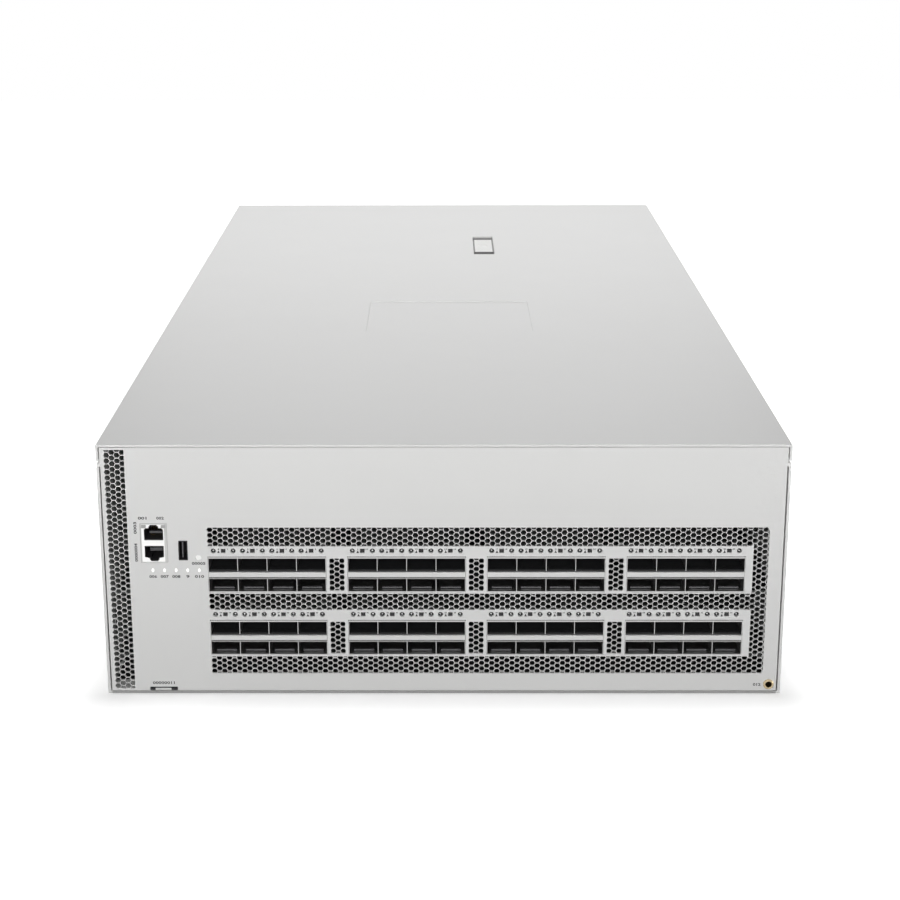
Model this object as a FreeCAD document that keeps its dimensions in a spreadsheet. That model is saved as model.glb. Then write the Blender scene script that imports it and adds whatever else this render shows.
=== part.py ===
# Data center switch, four rack units high: 64 pluggable ports in front, four fan modules and four
# power supplies behind. Millimetres, +Z up, the port side looks along -Y, and the origin is the
# middle of the whole outline at the bottom.
#
# Every sub-part is drawn with y = 0 on the front panel's face, x = 0 on the middle of the case and
# z = 0 under the base, and is then moved back by FRONT so that the outline is centred on the origin.

import FreeCAD, Part
import Sketcher
import math
import os
import re

DIMENSIONS = {
    # The case: folded sheet steel
    "case_width": 440,
    "case_height": 172,
    "case_depth": 780,
    "sheet_gauge": 1.8,
    "cover_gauge": 1.6,
    "panel_gauge": 1.5,
    "seam": 0.3,
    "panel_side_gap": 0.9,
    "cover_flange": 11.1,
    "flange_gap": 2.1,
    "return_flange": 12,
    "return_flange_inset_low": 11.9,
    "return_flange_inset_high": 16.1,
    "rack_hole_radius": 2.1,
    "rack_hole_front": 25,
    "rack_hole_low": 40,
    "rack_hole_spacing_z": 90,
    # The label recess and the latch in the top cover
    "recess_left": -60.5,
    "recess_width": 131,
    "recess_front": 269,
    "recess_length": 93,
    "recess_depth": 0.6,
    "latch_middle": 39,
    "well_width": 19.4,
    "well_from_back": 239,
    "well_length": 78,
    "well_depth": 8,
    "well_wall": 1.5,
    "lever_width": 17.6,
    "lever_finger_gap": 11.5,
    "lever_length": 53,
    "lever_thickness": 2.2,
    "lever_sunk": 0.4,
    "latch_pin_radius": 1.25,
    "latch_barrel_radius": 2.6,
    "pin_clearance": 0.06,
    # The ports: eight ganged cages, each four ports wide and two high
    "port_pitch": 18.9,
    "port_wall": 0.4,
    "port_height": 8.7,
    "port_row_gap": 5.3,
    "cage_floor": 0.6,
    "cage_roof": 0.9,
    "cage_depth": 52,
    "cage_clearance": 0.15,
    "port_depth": 44,
    "bank_from_right": 196.2,
    "bank_pitch": 89.7,
    "cage_low": 27.5,
    "block_pitch": 44.1,
    # The perforated vents in the front panel
    "vent_pitch": 11.4,
    "vent_web": 1.7,
    "vent_rim": 0.5,
    "vent_clearance": 0.05,
    "left_vent_inset": 2.1,
    "left_vent_width": 13.1,
    "left_vent_margin": 1.4,
    "right_vent_inset": 9.1,
    "right_vent_width": 9.7,
    "right_vent_gap": 1.5,
    "mark_strip": 7.8,
    "vent_strip": 1.1,
    "top_band_height": 12.6,
    "bottom_band_height": 12.1,
    "bank_vent_width": 9.6,
    "bank_vent_inset": 0.9,
    # The console corner: stacked jack, upright bus socket, reset button and five status lights
    "board_gauge": 2.4,
    "jack_inset": 23.2,
    "jack_low": 92.1,
    "jack_width": 17.1,
    "jack_height": 26.8,
    "jack_depth": 30,
    "jack_shield": 0.6,
    "jack_mouth_width": 12.2,
    "jack_mouth_height": 8.2,
    "jack_mouth_depth": 21,
    "jack_tab_width": 5.2,
    "jack_tab_height": 1.8,
    "jack_upper_low": 15.9,
    "jack_lower_low": 3.3,
    "fit_clearance": 0.15,
    "bus_from_jack": 24.2,
    "bus_low": 93.8,
    "bus_width": 5.7,
    "bus_height": 13.3,
    "bus_depth": 18,
    "bus_shell": 0.4,
    "tongue_width": 1.9,
    "console_board_inset": 16.3,
    "console_board_width": 48,
    "console_board_length": 78,
    "console_board_gauge": 1.6,
    "reset_inset": 59.9,
    "reset_z": 95.3,
    "reset_radius": 1.7,
    "reset_clearance": 0.2,
    "reset_collar": 2.6,
    "reset_sunk": 0.17,
    "reset_length": 5,
    "reset_travel": 0.8,
    "light_inset": 30.3,
    "light_pitch": 7.47,
    "light_z": 86.8,
    "light_radius": 1.2,
    # Earthing jack and pull-out tag
    "ground_inset": 5,
    "ground_z": 6.6,
    "ground_plug_radius": 2.05,
    "ground_barrel_radius": 2.9,
    "ground_rim_radius": 3.5,
    "ground_rim_proud": 1,
    "ground_barrel_length": 15,
    "ground_nut_radius": 4,
    "ground_nut_thickness": 2.5,
    "tag_inset": 24.9,
    "tag_width": 18.2,
    "tag_length": 60,
    "tag_thickness": 1,
    "tag_clearance": 0.3,
    "tag_notch_height": 2.6,
    "tag_sleeve_wall": 0.8,
    "tag_pull_width": 12.6,
    # Boards and what they carry
    "board_side_gap": 6.2,
    "board_front": 3,
    "main_board_back_gap": 118.3,
    "port_board_length": 130,
    "standoff_radius": 3.5,
    "chip_x": 21,
    "chip_y": 230,
    "chip_size": 66,
    "chip_height": 4.5,
    "sink_width": 150,
    "sink_length": 120,
    "sink_base": 7,
    "sink_height": 62,
    "fin_pitch": 7.5,
    "fin_gauge": 1.2,
    "control_inset": 16,
    "control_width": 120,
    "control_back_gap": 28,
    "control_length": 105,
    "control_lift": 16,
    "control_sink_size": 48,
    "control_sink_height": 26,
    # The rear: shelf, fan modules above, power supplies below
    "module_side_gap": 1.2,
    "shelf_low": 45.6,
    "shelf_gauge": 1.2,
    "shelf_length": 226,
    "shelf_flange": 11,
    "slide_clearance": 0.3,
    "fan_head_gap": 6,
    "fan_length": 112,
    "duct_wall": 4,
    "fan_window_margin": 1,
    "face_gap": 2.1,
    "face_lip_x": 2.2,
    "face_lip_z": 2,
    "face_gauge": 1.5,
    "guard_wall": 3.5,
    "guard_bar": 4,
    "guard_margin": 6.5,
    "motor_radius": 20,
    "motor_length": 12,
    "shaft_radius": 2.5,
    "shaft_length": 24,
    "hub_radius": 21,
    "hub_length": 28,
    "blade_tip_gap": 4,
    "blade_count": 5,
    "blade_chord": 34,
    "blade_gauge": 1.8,
    "blade_pitch_angle": 42,
    "handle_reach": 30,
    "handle_bar": 6,
    "fan_handle_inset": 9,
    "fan_plug_width": 24,
    "fan_plug_height": 8,
    "fan_plug_length": 8,
    "supply_width": 73.5,
    "supply_height": 40,
    "supply_length": 200,
    "supply_proud": 1.5,
    "supply_window_margin": 0.8,
    "inlet_left": -33,
    "inlet_width": 27,
    "inlet_low": 10,
    "inlet_height": 20,
    "inlet_depth": 20,
    "supply_slot_first": 6,
    "supply_slot_pitch": 4.4,
    "supply_slot_width": 2.4,
    "supply_slot_height": 26,
    "supply_slot_depth": 6,
    "supply_handle_x": -1,
    "supply_handle_bar": 4,
    "supply_handle_height": 34,
    "release_x": 30,
    "release_width": 4.6,
    "release_height": 14,
    "release_length": 13,
    "release_seat": 3,
    "release_travel": 3,
    "guide_gauge": 1.2,
    "guide_height": 12,
}

document = FreeCAD.newDocument("Switch")
sheet = document.addObject("Spreadsheet::Sheet", "Sizes")
for row, (alias, value) in enumerate(DIMENSIONS.items(), start=1):
    sheet.set(f"A{row}", alias)
    sheet.set(f"B{row}", str(value))
    sheet.setAlias(f"B{row}", alias)
document.recompute()

# Places worked out from the sheet, as the expressions that the sub-parts are bound to
FRONT = "(ground_rim_proud - case_depth - handle_reach) / 2"
PANEL_HALF = "(case_width / 2 - sheet_gauge - panel_side_gap)"
PANEL_LOW = "(sheet_gauge + seam)"
PANEL_TOP = "(case_height - cover_gauge - seam)"
STEP_HEIGHT = "(case_height - cover_flange - flange_gap)"
STEP_IN = "(cover_gauge + seam)"
WALL_INNER = "(case_width / 2 - sheet_gauge)"
CAGE_WIDTH = "(4 * port_pitch + port_wall)"
CAGE_HEIGHT = "(2 * port_height + port_row_gap + cage_floor + cage_roof)"
CAGE_TOP = f"(cage_low + {CAGE_HEIGHT})"
TOP_BAND_LOW = f"(cage_low + block_pitch + {CAGE_HEIGHT} + mark_strip)"
MIDDLE_BAND_LOW = f"({CAGE_TOP} + mark_strip)"
BOTTOM_BAND_LOW = "(cage_low - vent_strip - bottom_band_height)"
CONSOLE_LOW = "(jack_low - console_board_gauge)"
BANK_CENTRE = f"({PANEL_HALF} - bank_from_right)"
CAGE_WINDOW_WIDTH = f"({CAGE_WIDTH} + 2 * cage_clearance)"
CAGE_WINDOW_HEIGHT = f"({CAGE_HEIGHT} + 2 * cage_clearance)"
FIELD_LEFT = f"({BANK_CENTRE} - 1.5 * bank_pitch - {CAGE_WINDOW_WIDTH} / 2)"
RIGHT_VENT_LEFT = f"({PANEL_HALF} - right_vent_inset - right_vent_width)"
FIELD_WIDTH = f"({RIGHT_VENT_LEFT} - right_vent_gap - {FIELD_LEFT})"
FIELD_TOP = f"({TOP_BAND_LOW} + top_band_height)"
FLANGE_LOW = f"({PANEL_LOW} + return_flange_inset_low)"
FLANGE_HIGH = f"({PANEL_TOP} - return_flange_inset_high)"
JACK_LEFT = f"(jack_inset - {PANEL_HALF})"
BUS_LEFT = f"({JACK_LEFT} + bus_from_jack)"
RESET_X = f"(reset_inset - {PANEL_HALF})"
LIGHT_FIRST = f"(light_inset - {PANEL_HALF})"
CONSOLE_BOARD_LEFT = f"(console_board_inset - {PANEL_HALF})"
TAG_LEFT = f"(tag_inset - {PANEL_HALF})"
GROUND_X = f"({PANEL_HALF} - ground_inset)"
BOARD_EDGE = f"({WALL_INNER} - board_side_gap)"
TAG_LOW = "(sheet_gauge + tag_sleeve_wall + tag_clearance)"
SHELF_TOP = "(shelf_low + shelf_gauge)"
MODULE_PITCH = f"(({WALL_INNER} - module_side_gap) / 2)"
FACE_WIDTH = f"({MODULE_PITCH} - face_gap)"
FAN_WIDTH = f"({FACE_WIDTH} - 2 * face_lip_x)"
FAN_LOW = f"({SHELF_TOP} + slide_clearance)"
FAN_HEIGHT = f"({PANEL_TOP} - {FAN_LOW} - fan_head_gap)"
FAN_AXIS_Z = f"({FAN_LOW} + {FAN_HEIGHT} / 2)"
FAN_BORE = f"(min({FAN_WIDTH}; {FAN_HEIGHT}) / 2 - duct_wall)"
GUARD_SLOT = f"((2 * ({FAN_BORE} - guard_margin) - 4 * guard_bar) / 5)"
FAN_HANDLE_WIDTH = f"({FAN_WIDTH} - 2 * fan_handle_inset)"
FACE_FRONT = "(case_depth + slide_clearance)"
FACE_BACK = "(case_depth + slide_clearance + face_gauge)"
HANDLE_BACK = "(case_depth + handle_reach)"
SUPPLY_LOW = "(sheet_gauge + slide_clearance)"
SUPPLY_BACK = "(case_depth + supply_proud)"
SUPPLY_FRONT = "(case_depth - supply_length)"
SUPPLY_SOCKET_Y = f"({SUPPLY_FRONT} - fan_plug_length - slide_clearance)"
SUPPLY_BOARD_Y = f"({SUPPLY_SOCKET_Y} - fan_plug_length)"
MAIN_BOARD_LENGTH = f"({SUPPLY_BOARD_Y} - board_gauge - main_board_back_gap - board_front)"
CONTROL_LEFT = f"(control_inset - {BOARD_EDGE})"
CONTROL_FRONT = f"(board_front + {MAIN_BOARD_LENGTH} - control_back_gap - control_length)"
WELL_FRONT = "(case_depth - well_from_back)"
LEVER_FRONT = f"({WELL_FRONT} + lever_finger_gap)"

# Ways to turn a cylinder or prism, which stands up by itself
ALONG_Y = FreeCAD.Rotation(FreeCAD.Vector(1, 0, 0), -90)
ALONG_X = FreeCAD.Rotation(FreeCAD.Vector(0, 1, 0), 90)
UPRIGHT = FreeCAD.Rotation()

sub_parts = []


def tied(text):
    """An expression with each alias of the sheet written out as a reference to its cell."""
    def cell(word):
        return f"Sizes.{word[0]}" if word[0] in DIMENSIONS else word[0]

    return re.sub(r"[a-z_]+", cell, str(text))


def size(name):
    return float(sheet.get(name))


def bind(feature, **expressions):
    for name, text in expressions.items():
        feature.setExpression(name.replace("_", "."), tied(text))
    return feature


def place(feature, x, y, z):
    return bind(feature, Placement_Base_x=x, Placement_Base_y=y, Placement_Base_z=z)


def box(x, y, z, length, width, height):
    feature = document.addObject("Part::Box", "Box")
    bind(feature, Length=length, Width=width, Height=height)
    return place(feature, x, y, z)


def rod(x, y, z, radius, length, turn=ALONG_Y):
    """A cylinder that starts at the point."""
    feature = document.addObject("Part::Cylinder", "Rod")
    feature.Placement.Rotation = turn
    bind(feature, Radius=radius, Height=length)
    return place(feature, x, y, z)


def prism(x, y, z, radius, length, sides=6, turn=ALONG_Y):
    """A regular prism that starts at the point, with a side to its right."""
    feature = document.addObject("Part::Prism", "Prism")
    feature.Polygon = sides
    feature.Placement.Rotation = turn
    bind(feature, Circumradius=radius, Height=length)
    return place(feature, x, y, z)


def spacer(x, y, z, length):
    return prism(x, y, z, "standoff_radius", length, turn=UPRIGHT)


def group(shapes):
    feature = document.addObject("Part::Compound", "Group")
    feature.Links = shapes
    return feature


def fuse(shapes):
    feature = document.addObject("Part::MultiFuse", "Fusion")
    feature.Shapes = shapes
    feature.Refine = True
    return feature


def cut(base, tools):
    feature = document.addObject("Part::Cut", "Cut")
    feature.Base = base
    feature.Tool = tools[0] if len(tools) == 1 else group(tools)
    feature.Refine = True
    return feature


def sub_part(feature, label):
    """Name a finished sub-part and set it back from the front panel's face to its place."""
    if feature.isDerivedFrom("Part::Primitive"):
        feature = group([feature])
    feature.Label = label
    bind(feature, Placement_Base_y=FRONT)
    sub_parts.append(feature)
    return feature


def plane(body, role):
    return next(item for item in body.Origin.OriginFeatures if item.Role == role)


def outline(body, role, points, lift="0"):
    """A closed sketch of straight lines whose corners are bound to the sheet."""
    sketch = body.newObject("Sketcher::SketchObject", "Outline")
    sketch.AttachmentSupport = [(plane(body, role), "")]
    sketch.MapMode = "FlatFace"
    bind(sketch, AttachmentOffset_Base_z=lift)
    rough = [FreeCAD.Vector(x, y, 0) for x, y in [(worked_out(x), worked_out(y)) for x, y in points]]
    count = len(points)
    for i in range(count):
        sketch.addGeometry(Part.LineSegment(rough[i], rough[(i + 1) % count]), False)
    for i in range(count):
        sketch.addConstraint(Sketcher.Constraint("Coincident", i, 2, (i + 1) % count, 1))
    for i, (x, y) in enumerate(points):
        across = sketch.addConstraint(Sketcher.Constraint("DistanceX", -1, 1, i, 1, rough[i].x))
        sketch.setExpression(f"Constraints[{across}]", tied(x))
        up = sketch.addConstraint(Sketcher.Constraint("DistanceY", -1, 1, i, 1, rough[i].y))
        sketch.setExpression(f"Constraints[{up}]", tied(y))
    return sketch


def worked_out(text):
    return float(sheet.evalExpression(str(text)))


def pad(body, sketch, length, backwards=False):
    feature = body.newObject("PartDesign::Pad", "Pad")
    feature.Profile = sketch
    feature.Reversed = backwards
    return bind(feature, Length=length)


def pocket(body, sketch, length, backwards=False):
    feature = body.newObject("PartDesign::Pocket", "Pocket")
    feature.Profile = sketch
    feature.Reversed = backwards
    return bind(feature, Length=length)


def rectangle(left, low, width, height):
    return [(left, low), (f"{left} + {width}", low), (f"{left} + {width}", f"{low} + {height}"),
            (left, f"{low} + {height}")]


# Base: floor and side walls folded from one sheet. The walls step inwards near the top, so that the
# cover's flanges lie flush with them, and the step is cut back where the two end panels stand.
base_body = document.addObject("PartDesign::Body", "Base")
right_half = [
    ("case_width / 2", "0"),
    ("case_width / 2", STEP_HEIGHT),
    (f"case_width / 2 - {STEP_IN}", STEP_HEIGHT),
    (f"case_width / 2 - {STEP_IN}", PANEL_TOP),
    (f"case_width / 2 - {STEP_IN} - sheet_gauge", PANEL_TOP),
    (f"case_width / 2 - {STEP_IN} - sheet_gauge", f"{STEP_HEIGHT} - sheet_gauge"),
    ("case_width / 2 - sheet_gauge", f"{STEP_HEIGHT} - sheet_gauge"),
    ("case_width / 2 - sheet_gauge", "sheet_gauge"),
]
left_half = [(f"0 - ({x})", y) for x, y in reversed(right_half)]
pad(base_body, outline(base_body, "XZ_Plane", right_half + left_half), "case_depth", backwards=True)

cut_back_depth = "(panel_gauge + seam)"
cut_backs = [
    box("-case_width / 2", y, f"{STEP_HEIGHT} - sheet_gauge - seam", "case_width", cut_back_depth,
        "cover_flange + flange_gap + sheet_gauge")
    for y in ("0", f"case_depth - {cut_back_depth}")
]
rack_holes = [
    rod("-case_width / 2", "rack_hole_front", f"rack_hole_low + {i} * rack_hole_spacing_z",
        "rack_hole_radius", "case_width", turn=ALONG_X)
    for i in range(2)
]
sub_part(cut(base_body, cut_backs + rack_holes), "base_chassis")

# Top cover: a shallow folded lid with a recess for a label and a cut-out for the latch's well
cover_body = document.addObject("PartDesign::Body", "Cover")
cover_half = [
    ("case_width / 2", "case_height - cover_flange"),
    ("case_width / 2", "case_height"),
]
cover_inside = [
    ("-case_width / 2 + cover_gauge", "case_height - cover_flange"),
    ("-case_width / 2 + cover_gauge", "case_height - cover_gauge"),
    ("case_width / 2 - cover_gauge", "case_height - cover_gauge"),
    ("case_width / 2 - cover_gauge", "case_height - cover_flange"),
]
cover_outside = [(f"0 - ({x})", y) for x, y in reversed(cover_half)]
pad(cover_body, outline(cover_body, "XZ_Plane", cover_half + cover_outside + cover_inside), "case_depth",
    backwards=True)
recess = rectangle("recess_left", "recess_front", "recess_width", "recess_length")
pocket(cover_body, outline(cover_body, "XY_Plane", recess, lift="case_height"), "recess_depth")
well_mouth = rectangle("(latch_middle - well_width / 2)", WELL_FRONT, "well_width", "well_length")
pocket(cover_body, outline(cover_body, "XY_Plane", well_mouth, lift="case_height"), "cover_flange")
sub_part(cover_body, "top_cover")

# The latch's well hangs under the cover, and its side walls hold the lever's pin
WELL_TOP = "(case_height - cover_gauge)"
PIN_Y = f"({LEVER_FRONT} + lever_length - latch_barrel_radius)"
PIN_Z = "(case_height - lever_sunk - latch_barrel_radius)"
well = cut(
    box("latch_middle - well_width / 2 - well_wall", f"{WELL_FRONT} - well_wall", f"{WELL_TOP} - well_depth",
        "well_width + 2 * well_wall", "well_length + 2 * well_wall", "well_depth"),
    [
        box("latch_middle - well_width / 2", WELL_FRONT, f"{WELL_TOP} - well_depth + well_wall",
            "well_width", "well_length", "well_depth"),
        rod("latch_middle - well_width / 2 - well_wall", PIN_Y, PIN_Z, "latch_pin_radius + pin_clearance",
            "well_width + 2 * well_wall", turn=ALONG_X),
    ],
)
sub_part(well, "cover_latch_well")
lever = fuse([
    box("latch_middle - lever_width / 2", LEVER_FRONT, "case_height - lever_sunk - lever_thickness",
        "lever_width", "lever_length", "lever_thickness"),
    box("latch_middle - lever_width / 2", f"{PIN_Y} - latch_barrel_radius",
        "case_height - lever_sunk - 2 * latch_barrel_radius", "lever_width", "2 * latch_barrel_radius",
        "2 * latch_barrel_radius"),
    rod("latch_middle - well_width / 2 - well_wall", PIN_Y, PIN_Z, "latch_pin_radius",
        "well_width + 2 * well_wall", turn=ALONG_X),
])
sub_part(lever, "cover_latch_lever")


def cage_place(block, bank):
    """The left, lower corner of a ganged cage, block 0 below and 1 above, bank 0 at the left."""
    left = f"({BANK_CENTRE} + ({bank} - 1.5) * bank_pitch - {CAGE_WIDTH} / 2)"
    return left, f"(cage_low + {block} * block_pitch)"


CAGE_PLACES = [cage_place(block, bank) for block in (1, 0) for bank in range(4)]

# Windows of the vents in the front panel: left edge, lower edge, width, height
side_windows = [
    (f"left_vent_inset - {PANEL_HALF}", f"{PANEL_LOW} + left_vent_margin", "left_vent_width",
     f"{PANEL_TOP} - {PANEL_LOW} - 2 * left_vent_margin"),
    (RIGHT_VENT_LEFT, BOTTOM_BAND_LOW, "right_vent_width",
     f"{FIELD_TOP} - {BOTTOM_BAND_LOW}"),
]
MIDDLE_BAND_HEIGHT = f"(block_pitch - mark_strip - vent_strip - {CAGE_HEIGHT})"
band_windows = [
    (FIELD_LEFT, TOP_BAND_LOW, FIELD_WIDTH, "top_band_height"),
    (FIELD_LEFT, MIDDLE_BAND_LOW, FIELD_WIDTH, MIDDLE_BAND_HEIGHT),
    (FIELD_LEFT, BOTTOM_BAND_LOW, FIELD_WIDTH, "bottom_band_height"),
]
bank_windows = [
    (f"{BANK_CENTRE} + {bank - 1} * bank_pitch - bank_vent_width / 2",
     f"{cage_place(block, 0)[1]} + bank_vent_inset", "bank_vent_width", f"{CAGE_HEIGHT} - 2 * bank_vent_inset")
    for block in (1, 0)
    for bank in range(3)
]

# Front panel: a flat sheet with flanges turned back, cut out for the port field, vents and console
panel_plate = box(f"-{PANEL_HALF}", "0", PANEL_LOW, f"2 * {PANEL_HALF}", "panel_gauge",
                  f"{PANEL_TOP} - {PANEL_LOW}")
top_flange = box(f"-{PANEL_HALF} + return_flange", "0", f"{PANEL_TOP} - panel_gauge",
                 f"2 * ({PANEL_HALF} - return_flange)", "panel_gauge + return_flange", "panel_gauge")
side_flanges = [
    box(x, "0", FLANGE_LOW, "panel_gauge", "panel_gauge + return_flange", f"{FLANGE_HIGH} - {FLANGE_LOW}")
    for x in (f"-{PANEL_HALF}", f"{PANEL_HALF} - panel_gauge")
]


def through_panel(left, low, width, height):
    return box(left, "-panel_gauge", low, width, "3 * panel_gauge", height)


panel_cuts = [through_panel(*window) for window in side_windows]
panel_cuts += [
    through_panel(FIELD_LEFT, BOTTOM_BAND_LOW, FIELD_WIDTH, f"{FIELD_TOP} - {BOTTOM_BAND_LOW}"),
    through_panel(f"{JACK_LEFT} - fit_clearance", "jack_low - fit_clearance", "jack_width + 2 * fit_clearance",
                  "jack_height + 2 * fit_clearance"),
    through_panel(f"{BUS_LEFT} - fit_clearance", "bus_low - fit_clearance", "bus_width + 2 * fit_clearance",
                  "bus_height + 2 * fit_clearance"),
    through_panel(TAG_LEFT, PANEL_LOW, "tag_width", "tag_notch_height"),
    rod(RESET_X, "-panel_gauge", "reset_z", "reset_radius + reset_clearance", "3 * panel_gauge"),
    rod(GROUND_X, "-panel_gauge", "ground_z", "ground_barrel_radius", "3 * panel_gauge"),
]
panel_cuts += [
    prism(f"{LIGHT_FIRST} + {i} * light_pitch", "-panel_gauge", "light_z", "light_radius + fit_clearance / 2",
          "3 * panel_gauge", sides=8)
    for i in range(5)
]
sub_part(cut(fuse([panel_plate, top_flange] + side_flanges), panel_cuts), "front_panel")


def bar(left, low, width, height):
    return box(left, "0", low, width, "panel_gauge", height)


# Port field: the bars of the panel between the cages and the vents, each a plain bar so that every
# port stays open in collision. Long bars run above and below each row of cages, and short ones
# stand between neighbouring cages.
field_bars = []
for block in range(2):
    low = cage_place(block, 0)[1]
    field_bars.append(bar(FIELD_LEFT, f"{low} - vent_strip", FIELD_WIDTH, "vent_strip - cage_clearance"))
    field_bars.append(bar(FIELD_LEFT, f"{low} + {CAGE_HEIGHT} + cage_clearance", FIELD_WIDTH,
                          "mark_strip - cage_clearance"))
    row_low = f"{low} - cage_clearance"
    for bank in range(4):
        cage_right = f"({cage_place(block, bank)[0]} + {CAGE_WIDTH} + cage_clearance)"
        if bank == 3:
            field_bars.append(bar(cage_right, row_low, f"{FIELD_LEFT} + {FIELD_WIDTH} - {cage_right}",
                                  CAGE_WINDOW_HEIGHT))
            continue
        vent_left, vent_low, vent_width, vent_height = bank_windows[3 * (1 - block) + bank]
        next_left = f"({cage_place(block, bank + 1)[0]} - cage_clearance)"
        vent_right = f"({vent_left} + {vent_width})"
        field_bars.append(bar(cage_right, row_low, f"{vent_left} - {cage_right}", CAGE_WINDOW_HEIGHT))
        field_bars.append(bar(vent_right, row_low, f"{next_left} - {vent_right}", CAGE_WINDOW_HEIGHT))
        for bar_low in (row_low, f"{vent_low} + {vent_height}"):
            field_bars.append(bar(vent_left, bar_low, vent_width, "bank_vent_inset + cage_clearance"))
sub_part(group(field_bars), "port_field_bars")


def screen(left, low, width, height):
    """A perforated insert that fills one window, its hexagons staggered and cut off at the rim."""
    left, low, width, height = (worked_out(text) for text in (left, low, width, height))
    pitch, rim, slack = size("vent_pitch"), size("vent_rim"), size("vent_clearance")
    column = pitch * math.sqrt(3) / 2
    corner = (pitch - size("vent_web")) / math.sqrt(3)

    def flat(x, z, wide, tall):
        return Part.makePlane(wide, tall, FreeCAD.Vector(x, 0, z + tall), FreeCAD.Vector(0, 1, 0),
                              FreeCAD.Vector(1, 0, 0))

    middle = FreeCAD.Vector(left + width / 2, 0, low + height / 2)
    columns = int(width / 2 / column) + 1
    rows = int(height / 2 / pitch) + 1
    cells = []
    for i in range(-columns, columns + 1):
        for j in range(-rows, rows + 1):
            centre = middle + FreeCAD.Vector(i * column, 0, (j + i % 2 / 2) * pitch)
            across, above = abs(centre.x - middle.x), abs(centre.z - middle.z)
            if across + corner / 4 < width / 2 and above < height / 2:
                turns = [k * math.pi / 3 for k in range(7)]
                ring = [centre + FreeCAD.Vector(math.cos(a), 0, math.sin(a)) * corner for a in turns]
                cells.append(Part.Face(Part.makePolygon(ring)))
    field = flat(left + slack + rim, low + slack + rim, width - 2 * (slack + rim), height - 2 * (slack + rim))
    holes = field.common(Part.Compound(cells))
    sheet_face = flat(left + slack, low + slack, width - 2 * slack, height - 2 * slack).cut(holes)
    return sheet_face.extrude(FreeCAD.Vector(0, size("panel_gauge"), 0)).Solids


def screens(windows, label):
    feature = document.addObject("Part::Feature", "Screens")
    feature.Shape = Part.Compound([solid for window in windows for solid in screen(*window)])
    sub_part(feature, label)


screens(side_windows, "side_vent_screens")
screens(band_windows, "band_vent_screens")
screens(bank_windows, "bank_vent_screens")


# Port cages: each a shell of thin sheet, open in front and open below where its connectors stand on
# the board. A bar parts its two rows of ports, and upright dividers part the ports of each row.
CHAMBER_LENGTH = "(cage_depth - port_depth - port_wall)"
INNER_WIDTH = f"({CAGE_WIDTH} - 2 * port_wall)"
row_bars = []
dividers = []
connectors = []
for number, (left, low) in enumerate(CAGE_PLACES):
    inside = box(f"{left} + port_wall", "0", f"{low} + cage_floor", INNER_WIDTH, "cage_depth - port_wall",
                 f"{CAGE_HEIGHT} - cage_floor - cage_roof")
    below = box(f"{left} + port_wall", "port_depth", low, INNER_WIDTH, CHAMBER_LENGTH, "2 * cage_floor")
    shell = box(left, "0", low, CAGE_WIDTH, "cage_depth", CAGE_HEIGHT)
    block_name = "upper" if number < 4 else "lower"
    sub_part(cut(shell, [inside, below]), f"port_cage_{block_name}_{number % 4 + 1}")
    row_bars.append(box(f"{left} + port_wall", "0", f"{low} + cage_floor + port_height", INNER_WIDTH,
                        "port_depth", "port_row_gap"))
    for column in range(1, 4):
        for row in range(2):
            dividers.append(box(f"{left} + {column} * port_pitch", "0",
                                f"{low} + cage_floor + {row} * (port_height + port_row_gap)", "port_wall",
                                "port_depth", "port_height"))
    connectors.append(box(f"{left} + port_wall + fit_clearance", "port_depth + fit_clearance", low,
                          f"{INNER_WIDTH} - 2 * fit_clearance", f"{CHAMBER_LENGTH} - 2 * fit_clearance",
                          f"{CAGE_HEIGHT} - cage_roof - fit_clearance"))
sub_part(group(row_bars), "port_row_bars")
sub_part(group(dividers), "port_dividers")
sub_part(group(connectors), "port_connectors")


# Boards, the spacers that carry them, the switch chip and the heat sinks
def board(top, left, front, width, length, gauge="board_gauge"):
    return box(left, front, f"{top} - {gauge}", width, length, gauge)


PORT_BOARD_TOP = "(cage_low + block_pitch)"
sub_part(board("cage_low", f"-{BOARD_EDGE}", "board_front", f"2 * {BOARD_EDGE}", MAIN_BOARD_LENGTH), "main_board")
sub_part(board(PORT_BOARD_TOP, f"-{BOARD_EDGE}", "board_front", f"2 * {BOARD_EDGE}", "port_board_length"),
         "upper_port_board")

BEHIND_CAGES = "(cage_depth + 3 * standoff_radius)"
EDGE_COLUMN = f"({BOARD_EDGE} - 2 * standoff_radius)"
PORT_BOARD_BACK = "(board_front + port_board_length - 2 * standoff_radius)"
MAIN_BOARD_BACK = f"(board_front + {MAIN_BOARD_LENGTH} - 2 * standoff_radius)"
standoffs = []

for x in (f"-{EDGE_COLUMN}", "0", EDGE_COLUMN):
    for y in (BEHIND_CAGES, MAIN_BOARD_BACK):
        standoffs.append(spacer(x, y, "sheet_gauge", "cage_low - board_gauge - sheet_gauge"))
    for y in (BEHIND_CAGES, PORT_BOARD_BACK):
        standoffs.append(spacer(x, y, "cage_low", "block_pitch - board_gauge"))
for x in (f"({CONSOLE_BOARD_LEFT} + 2 * standoff_radius)",
          f"({CONSOLE_BOARD_LEFT} + console_board_width - 2 * standoff_radius)"):
    standoffs.append(spacer(x, "board_front + console_board_length - 2 * standoff_radius", PORT_BOARD_TOP,
                            f"{CONSOLE_LOW} - {PORT_BOARD_TOP}"))
standoffs.append(spacer(f"{JACK_LEFT} + jack_width / 2", "board_front + 3 * standoff_radius", PORT_BOARD_TOP,
                        f"{CONSOLE_LOW} - {PORT_BOARD_TOP}"))
for x in (f"({CONTROL_LEFT} + 2 * standoff_radius)",
          f"({CONTROL_LEFT} + control_width - 2 * standoff_radius)"):
    for y in (f"({CONTROL_FRONT} + 2 * standoff_radius)",
              f"({CONTROL_FRONT} + control_length - 2 * standoff_radius)"):
        standoffs.append(spacer(x, y, "cage_low", "control_lift"))
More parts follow.
